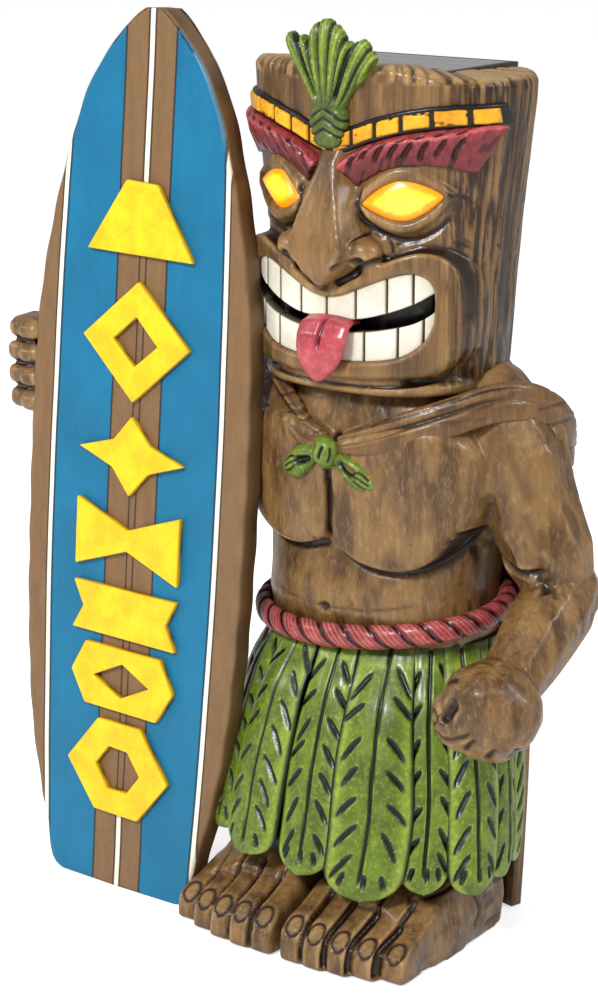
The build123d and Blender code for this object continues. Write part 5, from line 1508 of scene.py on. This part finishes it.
def board_paint():
    """Blue panels, brown rails and centre band, and cream lines, worn at the edges."""
    finish = Finish("surfboard_paint", Coat_Weight=0.1, Coat_Roughness=0.25, Specular_IOR_Level=0.35)
    plan = finish.node("ShaderNodeAttribute", attribute_name="board_plan").outputs["Vector"]
    parts = finish.node("ShaderNodeSeparateXYZ")
    finish.link(plan, parts.inputs["Vector"])
    waver = finish.noise(42, detail=1)
    shake = finish.node("ShaderNodeMath", operation="MULTIPLY_ADD")
    finish.link(waver, shake.inputs[0])
    shake.inputs[1].default_value = 0.7
    shake.inputs[2].default_value = -0.35

    def plain(operation, a, b):
        made = finish.node("ShaderNodeMath", operation=operation)
        for socket, value in zip(made.inputs, (a, b)):
            if isinstance(value, (int, float)):
                socket.default_value = value
            else:
                finish.link(value, socket)
        return made.outputs["Value"]

    def band(value, low, high, soft=0.35):
        """1 where value lies between low and high."""
        rise = finish.node("ShaderNodeMapRange", interpolation_type="SMOOTHSTEP")
        fall = finish.node("ShaderNodeMapRange", interpolation_type="SMOOTHSTEP")
        for made, start, end in ((rise, low - soft, low + soft), (fall, high + soft, high - soft)):
            finish.link(value, made.inputs["Value"])
            made.inputs["From Min"].default_value = start
            made.inputs["From Max"].default_value = end
        return finish.maths("MULTIPLY", rise.outputs["Result"], fall.outputs["Result"])

    across = plain("ADD", parts.outputs["X"], shake.outputs["Value"])
    up = parts.outputs["Y"]
    drift = plain("MULTIPLY", plain("POWER", plain("ABSOLUTE", plain("SUBTRACT", up, 150), 0), 2.0), 0.00019)
    side = plain("ADD", plain("ABSOLUTE", across, 0), drift)
    front = band(parts.outputs["Z"], -1.1, 50)
    grain = finish.noise(5, detail=7, rough=0.7, stretch=(1, 1, 0.25))
    fine = finish.noise(1.3, detail=5, rough=0.7)
    cloud = finish.noise(26, detail=4)
    brown = finish.mix(finish.ramp(grain, (0.35, 0.0), (0.75, 0.55)), colour(132, 100, 66),
                       colour(96, 70, 42))
    brown = finish.mix(finish.ramp(fine, (0.5, 0.0), (0.85, 0.3)), brown, colour(60, 40, 24))
    blue = finish.mix(finish.ramp(cloud, (0.35, 0.0), (0.7, 0.6)), colour(0, 112, 152), colour(0, 92, 130))
    blue = finish.mix(finish.ramp(grain, (0.5, 0.0), (0.85, 0.3)), blue, colour(24, 140, 178))
    blue = finish.mix(finish.ramp(finish.noise(0.9, detail=2), (0.66, 0.0), (0.73, 0.55)), blue,
                      colour(10, 60, 92))
    cream = finish.mix(finish.ramp(fine, (0.4, 0.0), (0.8, 0.35)), colour(246, 240, 222),
                       colour(214, 198, 160))
    black = colour(26, 20, 16)
    rail_line = 38.0
    shade = finish.mix(band(side, -1, rail_line), brown, blue)
    outline = finish.maths("MAXIMUM", band(side, rail_line - 1.9, rail_line - 1.15, 0.2),
                           band(side, rail_line + 0.9, rail_line + 1.5, 0.2))
    shade = finish.mix(finish.maths("MULTIPLY", outline, 0.85), shade, black)
    shade = finish.mix(band(side, rail_line - 1.0, rail_line + 0.8, 0.15), shade, cream)
    shade = finish.mix(band(across, -11.2, 10.6), shade, brown)
    lines = finish.maths("MAXIMUM", band(across, -11.7, -10.9, 0.22), band(across, 10.3, 11.1, 0.22))
    shade = finish.mix(finish.maths("MULTIPLY", lines, 0.9), shade, black)
    middle_black = finish.maths("MAXIMUM", band(across, -1.8, -1.1, 0.2), band(across, 1.1, 1.8, 0.2))
    shade = finish.mix(finish.maths("MULTIPLY", middle_black, 0.85), shade, black)
    clear_ends = finish.maths("MAXIMUM", band(up, 257.5, 400, 0.6), band(up, -10, 29, 0.6))
    shade = finish.mix(finish.maths("MULTIPLY", band(across, -0.95, 0.95, 0.2), clear_ends), shade, cream)
    shade = finish.mix(front, brown, shade)
    wear_and_highlight = finish.maths("MULTIPLY", finish.attribute("wear_and_highlight"), finish.ramp(fine, (0.3, 0.2), (0.6, 0.9)))
    shade = finish.mix(wear_and_highlight, shade, colour(176, 146, 106))
    # the wash layer darkens the board's side: painted shade with real dark streaks
    shade = finish.mix(finish.maths("MULTIPLY", finish.attribute("wash_and_shade"), 0.8), shade, colour(34, 22, 14))
    finish.paint(shade)
    finish.gloss(finish.ramp(grain, (0.3, 0.36), (0.7, 0.5)))
    finish.bump(fine, 0.1)
    return finish.material


BOARD_PAINT = board_paint()
MOTIF_YELLOW = hand_painted("motif_yellow_paint", colour(252, 208, 12), colour(228, 172, 8),
                            colour(255, 226, 64),
                            speck=0.25, mottled=0.6, rough=(0.34, 0.5), bump=0.08)

LOZENGE = [(-1, 0.5), (-0.42, 0), (0.42, 0), (1, 0.5), (0.42, 1), (-0.42, 1)]
POINTED_BAR = [(-1, 0.5), (-0.72, 0), (0.72, 0), (1, 0.5), (0.72, 1), (-0.72, 1)]
NICKED_BAR = [(-1, 0), (1, 0), (0.8, 0.5), (1, 1), (-1, 1), (-0.8, 0.5)]
WAISTED = [(-1, 0), (0, 0.34), (1, 0), (1, 1), (0, 0.66), (-1, 1)]
STAR = [(r * cos(radians(45 * k)), 0.5 + r * sin(radians(45 * k)) / 2) for k, r in enumerate([1.0, 0.5] * 4)]
DIAMOND = [(-1, 0.5), (0, 0), (1, 0.5), (0, 1)]
WEDGE = [(-1, 0), (1, 0), (0.3, 1), (-0.3, 1)]
MOTIFS = [(LOZENGE, 28.0, 63.0, LOZENGE, 0.45), (POINTED_BAR, 67.5, 90.5, DIAMOND, 0.55),
          (NICKED_BAR, 95.0, 113.0, None, 0), (WAISTED, 118.5, 144.0, None, 0), (STAR, 147.8, 176.2, None, 0),
          (DIAMOND, 181.0, 224.5, DIAMOND, 0.42), (WEDGE, 233.0, 258.5, None, 0)]


def make_motif(index, outline, low, high, hole, share):
    """A raised geometric figure, its edges knife-cut and a little uneven."""
    draw = np.random.default_rng(300 + index)

    def laid(points, scale=1.0):
        spots = np.array([(x * scale * 23.5, low + (0.5 + (y - 0.5) * scale) * (high - low)) for x,
                          y in points])
        return spots + draw.uniform(-0.35, 0.35, spots.shape)

    def shape_motif(shape):
        loops = [laid(outline)] + ([laid(hole, share)] if hole else [])
        rim = []
        for loop in loops:
            verts = [shape.verts.new(tuple(point)) for point in board_place(loop[:, 0], loop[:, 1],
                                                                            np.full(len(loop), -0.6))]
            rim += [shape.edges.new((a, b)) for a, b in zip(verts, verts[1:] + verts[:1])]
        filled = bmesh.ops.triangle_fill(shape, use_beauty=True, use_dissolve=False, edges=rim,
                                         normal=Vector(BOARD_OUT))
        faces = [item for item in filled["geom"] if isinstance(item, bmesh.types.BMFace)]
        raised = bmesh.ops.extrude_face_region(shape, geom=faces)
        moved = [item for item in raised["geom"] if isinstance(item, bmesh.types.BMVert)]
        bmesh.ops.translate(shape, verts=moved, vec=Vector(BOARD_OUT) * 3.2)
        bmesh.ops.dissolve_limit(shape, angle_limit=0.02, verts=shape.verts, edges=shape.edges)
        top = set(moved)
        sharp = [edge for edge in shape.edges if len(edge.link_faces) == 2 and edge.calc_face_angle(0) > 0.3
                 and any(vert in top and vert.is_valid for vert in edge.verts)]
        bmesh.ops.bevel(shape, geom=sharp, offset=0.55, offset_type="OFFSET", affect="EDGES", segments=3,
                        profile=0.5, material=-1)
        bmesh.ops.triangulate(shape, faces=shape.faces)
        bmesh.ops.subdivide_edges(shape, edges=[e for e in shape.edges if e.calc_length() > 4], cuts=4,
                                  use_grid_fill=True)

    mesh = solid(shape_motif)
    points = np.array([vert.co for vert in mesh.vertices])
    out = (points - BOARD_FOOT) @ BOARD_OUT
    # darker and near-black where the motif meets the board: painted shadow at its foot
    paint_layers(mesh, smooth(1.9, 0.4, out), points[:, 0] * 0, 0.8 * smooth(1.2, 0.2, out))
    piece(f"board_motif_{index}", mesh, MOTIF_YELLOW, "figure", "motif_yellow", f"motif_{index}", shade=False)


# ------------------------------------------------------------ finishes for the pieces carried over
def moulded(name, base, deep, size=3.0, rough=(0.4, 0.55), bump=0.03, **constants):
    """A plain technical surface with faint mottling and texture."""
    finish = Finish(name, **constants)
    cloud = finish.noise(size, detail=5, rough=0.65)
    finish.paint(finish.mix(finish.ramp(cloud, (0.35, 0.0), (0.7, 1.0)), base, deep))
    finish.gloss(finish.ramp(finish.noise(size * 0.4, detail=4), (0.3, rough[0]), (0.7, rough[1])))
    finish.bump(finish.noise(size * 0.12, detail=3), bump)
    return finish.material


def solar_cell():
    """Dark cells ruled with fine pale lines under a clear cover."""
    finish = Finish("solar_cell_face", rough=0.12, Coat_Weight=0.8, Coat_Roughness=0.05)
    parts = finish.node("ShaderNodeSeparateXYZ")
    finish.link(finish.place, parts.inputs["Vector"])

    def ruled(value, pitch, width):
        """1 on lines a pitch apart, in millimetres."""
        scaled = finish.node("ShaderNodeMath", operation="MULTIPLY")
        finish.link(value, scaled.inputs[0])
        scaled.inputs[1].default_value = 1000 / pitch
        share = finish.node("ShaderNodeMath", operation="FRACT")
        finish.link(scaled.outputs["Value"], share.inputs[0])
        return finish.maths("LESS_THAN", share.outputs["Value"], width / pitch)

    cloud = finish.noise(4, detail=4)
    shade = finish.mix(finish.ramp(cloud, (0.35, 0.0), (0.7, 1.0)), colour(18, 24, 48), colour(34, 40, 74))
    shade = finish.mix(ruled(parts.outputs["X"], 2.2, 0.16), shade, colour(120, 126, 140))
    shade = finish.mix(ruled(parts.outputs["Y"], 12.7, 0.9), shade, colour(168, 172, 180))
    finish.paint(shade)
    return finish.material


def dress_carried_over():
    """Gives every node that is shown as it was built a finish of its own."""
    black = moulded("black_plastic_face", colour(30, 28, 27), colour(20, 18, 17), rough=(0.45, 0.6))
    metal = moulded("plated_metal_face", colour(190, 188, 182), colour(150, 148, 142), size=1.5,
                    rough=(0.22, 0.38), Metallic=1.0)
    tin = moulded("tinned_can_face", colour(170, 168, 160), colour(130, 128, 120), size=2, rough=(0.3, 0.45),
                  Metallic=1.0)
    finishes = {
        "lower_body": CARVED_BROWN,
        "solar_tray": moulded("tray_brown_plastic", colour(74, 58, 42), colour(48, 36, 26),
                              rough=(0.45, 0.6)),
        "solar_panel": solar_cell(),
        "led_left": moulded("lamp_clear_plastic", colour(250, 226, 160), colour(240, 200, 120),
                            rough=(0.05, 0.12),
                            Transmission_Weight=0.6),
        "led_holder_left": black, "led_holder_right": black, "battery_box": black, "battery_cover": black,
        "circuit_board": moulded("circuit_green_face", colour(18, 96, 48), colour(12, 70, 36), size=5,
                                 rough=(0.25, 0.4)),
        "battery": moulded("battery_green_wrap", colour(30, 130, 66), colour(22, 100, 52), size=12,
                           rough=(0.18, 0.3)),
        "contact_plate": metal, "contact_spring": metal, "cover_screws": metal, "switch_body": tin,
        "switch_knob": moulded("switch_black_plastic", colour(22, 22, 23), colour(14, 14, 15), size=1,
                               rough=(0.4, 0.55)),
        "solar_wire": moulded("wire_red_cover", colour(150, 24, 22), colour(110, 14, 14), size=4,
                              rough=(0.35, 0.5)),
        "led_wire_left": moulded("wire_black_cover", colour(26, 26, 26), colour(16, 16, 16), size=4,
                                 rough=(0.35, 0.5)),
    }
    finishes["led_right"] = finishes["led_left"]
    finishes["led_wire_right"] = finishes["led_wire_left"]
    for name, finish in finishes.items():
        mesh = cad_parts[name].data
        mesh.materials.clear()
        mesh.materials.append(finish)


# ------------------------------------------------------------ camera, light and floor
def look_from():
    """A long lens, a little above and to the figure's left."""
    turn, dip = radians(36.2), radians(15.4)
    ahead = Vector((-sin(turn) * cos(dip), cos(turn) * cos(dip), -sin(dip)))
    across = Vector((cos(turn), sin(turn), 0))
    above = across.cross(ahead)
    stand = Vector((485.0, -719.2, 386.4)) * MM + CENTRE
    camera = bpy.data.cameras.new("camera")
    camera.lens = 92.2
    camera.sensor_width = 36.0
    camera.clip_start = 0.01
    seen = bpy.data.objects.new("camera", camera)
    turn_matrix = Matrix((across, above, -ahead)).transposed().to_4x4()
    seen.matrix_world = Matrix.Translation(stand) @ turn_matrix
    bpy.context.scene.collection.objects.link(seen)
    bpy.context.scene.camera = seen


def light(name, place, size, power, target=(0, 0, 0.15)):
    lamp = bpy.data.lights.new(name, "AREA")
    lamp.shape = "DISK"
    lamp.size = size
    lamp.energy = power
    made = bpy.data.objects.new(name, lamp)
    made.location = place
    made.rotation_euler = (Vector(target) - Vector(place)).to_track_quat("-Z", "Y").to_euler()
    bpy.context.scene.collection.objects.link(made)


def studio():
    """A pale sweep of floor under broad soft lights."""
    floor_shape = bmesh.new()
    bmesh.ops.create_grid(floor_shape, x_segments=1, y_segments=1, size=4.0)
    mesh = bpy.data.meshes.new("floor")
    floor_shape.to_mesh(mesh)
    floor_shape.free()
    floor = bpy.data.objects.new("floor", mesh)
    floor.location = (0, 0, -0.0002)
    finish = Finish("floor_white", rough=0.35, Specular_IOR_Level=0.4)
    finish.paint(finish.ramp(finish.noise(400, detail=1), (0.0, 0.93), (1.0, 0.96)))
    finish.shader.inputs["Emission Color"].default_value = (1, 1, 1, 1)
    sight = finish.node("ShaderNodeLightPath").outputs["Is Camera Ray"]
    glow = finish.node("ShaderNodeMapRange")
    glow.inputs["To Min"].default_value = 0.12
    glow.inputs["To Max"].default_value = 0.6
    finish.link(sight, glow.inputs["Value"])
    finish.link(glow.outputs["Result"], finish.shader.inputs["Emission Strength"])
    mesh.materials.append(finish.material)
    bpy.context.scene.collection.objects.link(floor)
    world = bpy.data.worlds.new("soft white room")
    world.use_nodes = True
    nodes, links = world.node_tree.nodes, world.node_tree.links
    room = nodes["Background"]
    room.inputs["Color"].default_value = (1.0, 1.0, 1.0, 1)
    path = nodes.new("ShaderNodeLightPath")
    strength = nodes.new("ShaderNodeMapRange")
    strength.inputs["To Min"].default_value = 0.4
    strength.inputs["To Max"].default_value = 1.05
    links.new(path.outputs["Is Camera Ray"], strength.inputs["Value"])
    links.new(strength.outputs["Result"], room.inputs["Strength"])
    bpy.context.scene.world = world
    light("key", (0.25, -1.4, 1.25), 0.3, 25)
    light("fill", (-1.3, -1.0, 0.9), 0.4, 5)
    light("rim", (1.5, 0.3, 1.1), 0.4, 9)
    bpy.context.scene.view_settings.view_transform = "Standard"


look_from()
studio()
carve_head()
make_eye(1, "left_eye", "eye_lens_left")
make_eye(-1, "right_eye", "eye_lens_right")
carve_body()
carve_foot(1, "left_foot_carving", "left_foot")
carve_foot(-1, "right_foot_carving", "right_foot")
make_skirt()
make_rope()
make_cape()
make_collar()
make_bow()
make_band()
make_brow(1, "left_brow_carving", "brow_left")
make_brow(-1, "right_brow_carving", "brow_right")
tooth_row((-36, -29.5, -21.5, -11, 0, 11, 21.5, 29.5, 36), UPPER_TOP, UPPER_LOW, "upper_teeth_row",
          "upper_teeth", 1)
tooth_row((-36.4, -31, -22, -11.5, 1.5, 14, 25, 32.5, 36.4), LOWER_TOP, LOWER_LOW, "lower_teeth_row",
          "lower_teeth", -1)
make_tongue()
make_crest()
make_board()
for number, motif in enumerate(MOTIFS, 1):
    make_motif(number, *motif)
dress_carried_over()
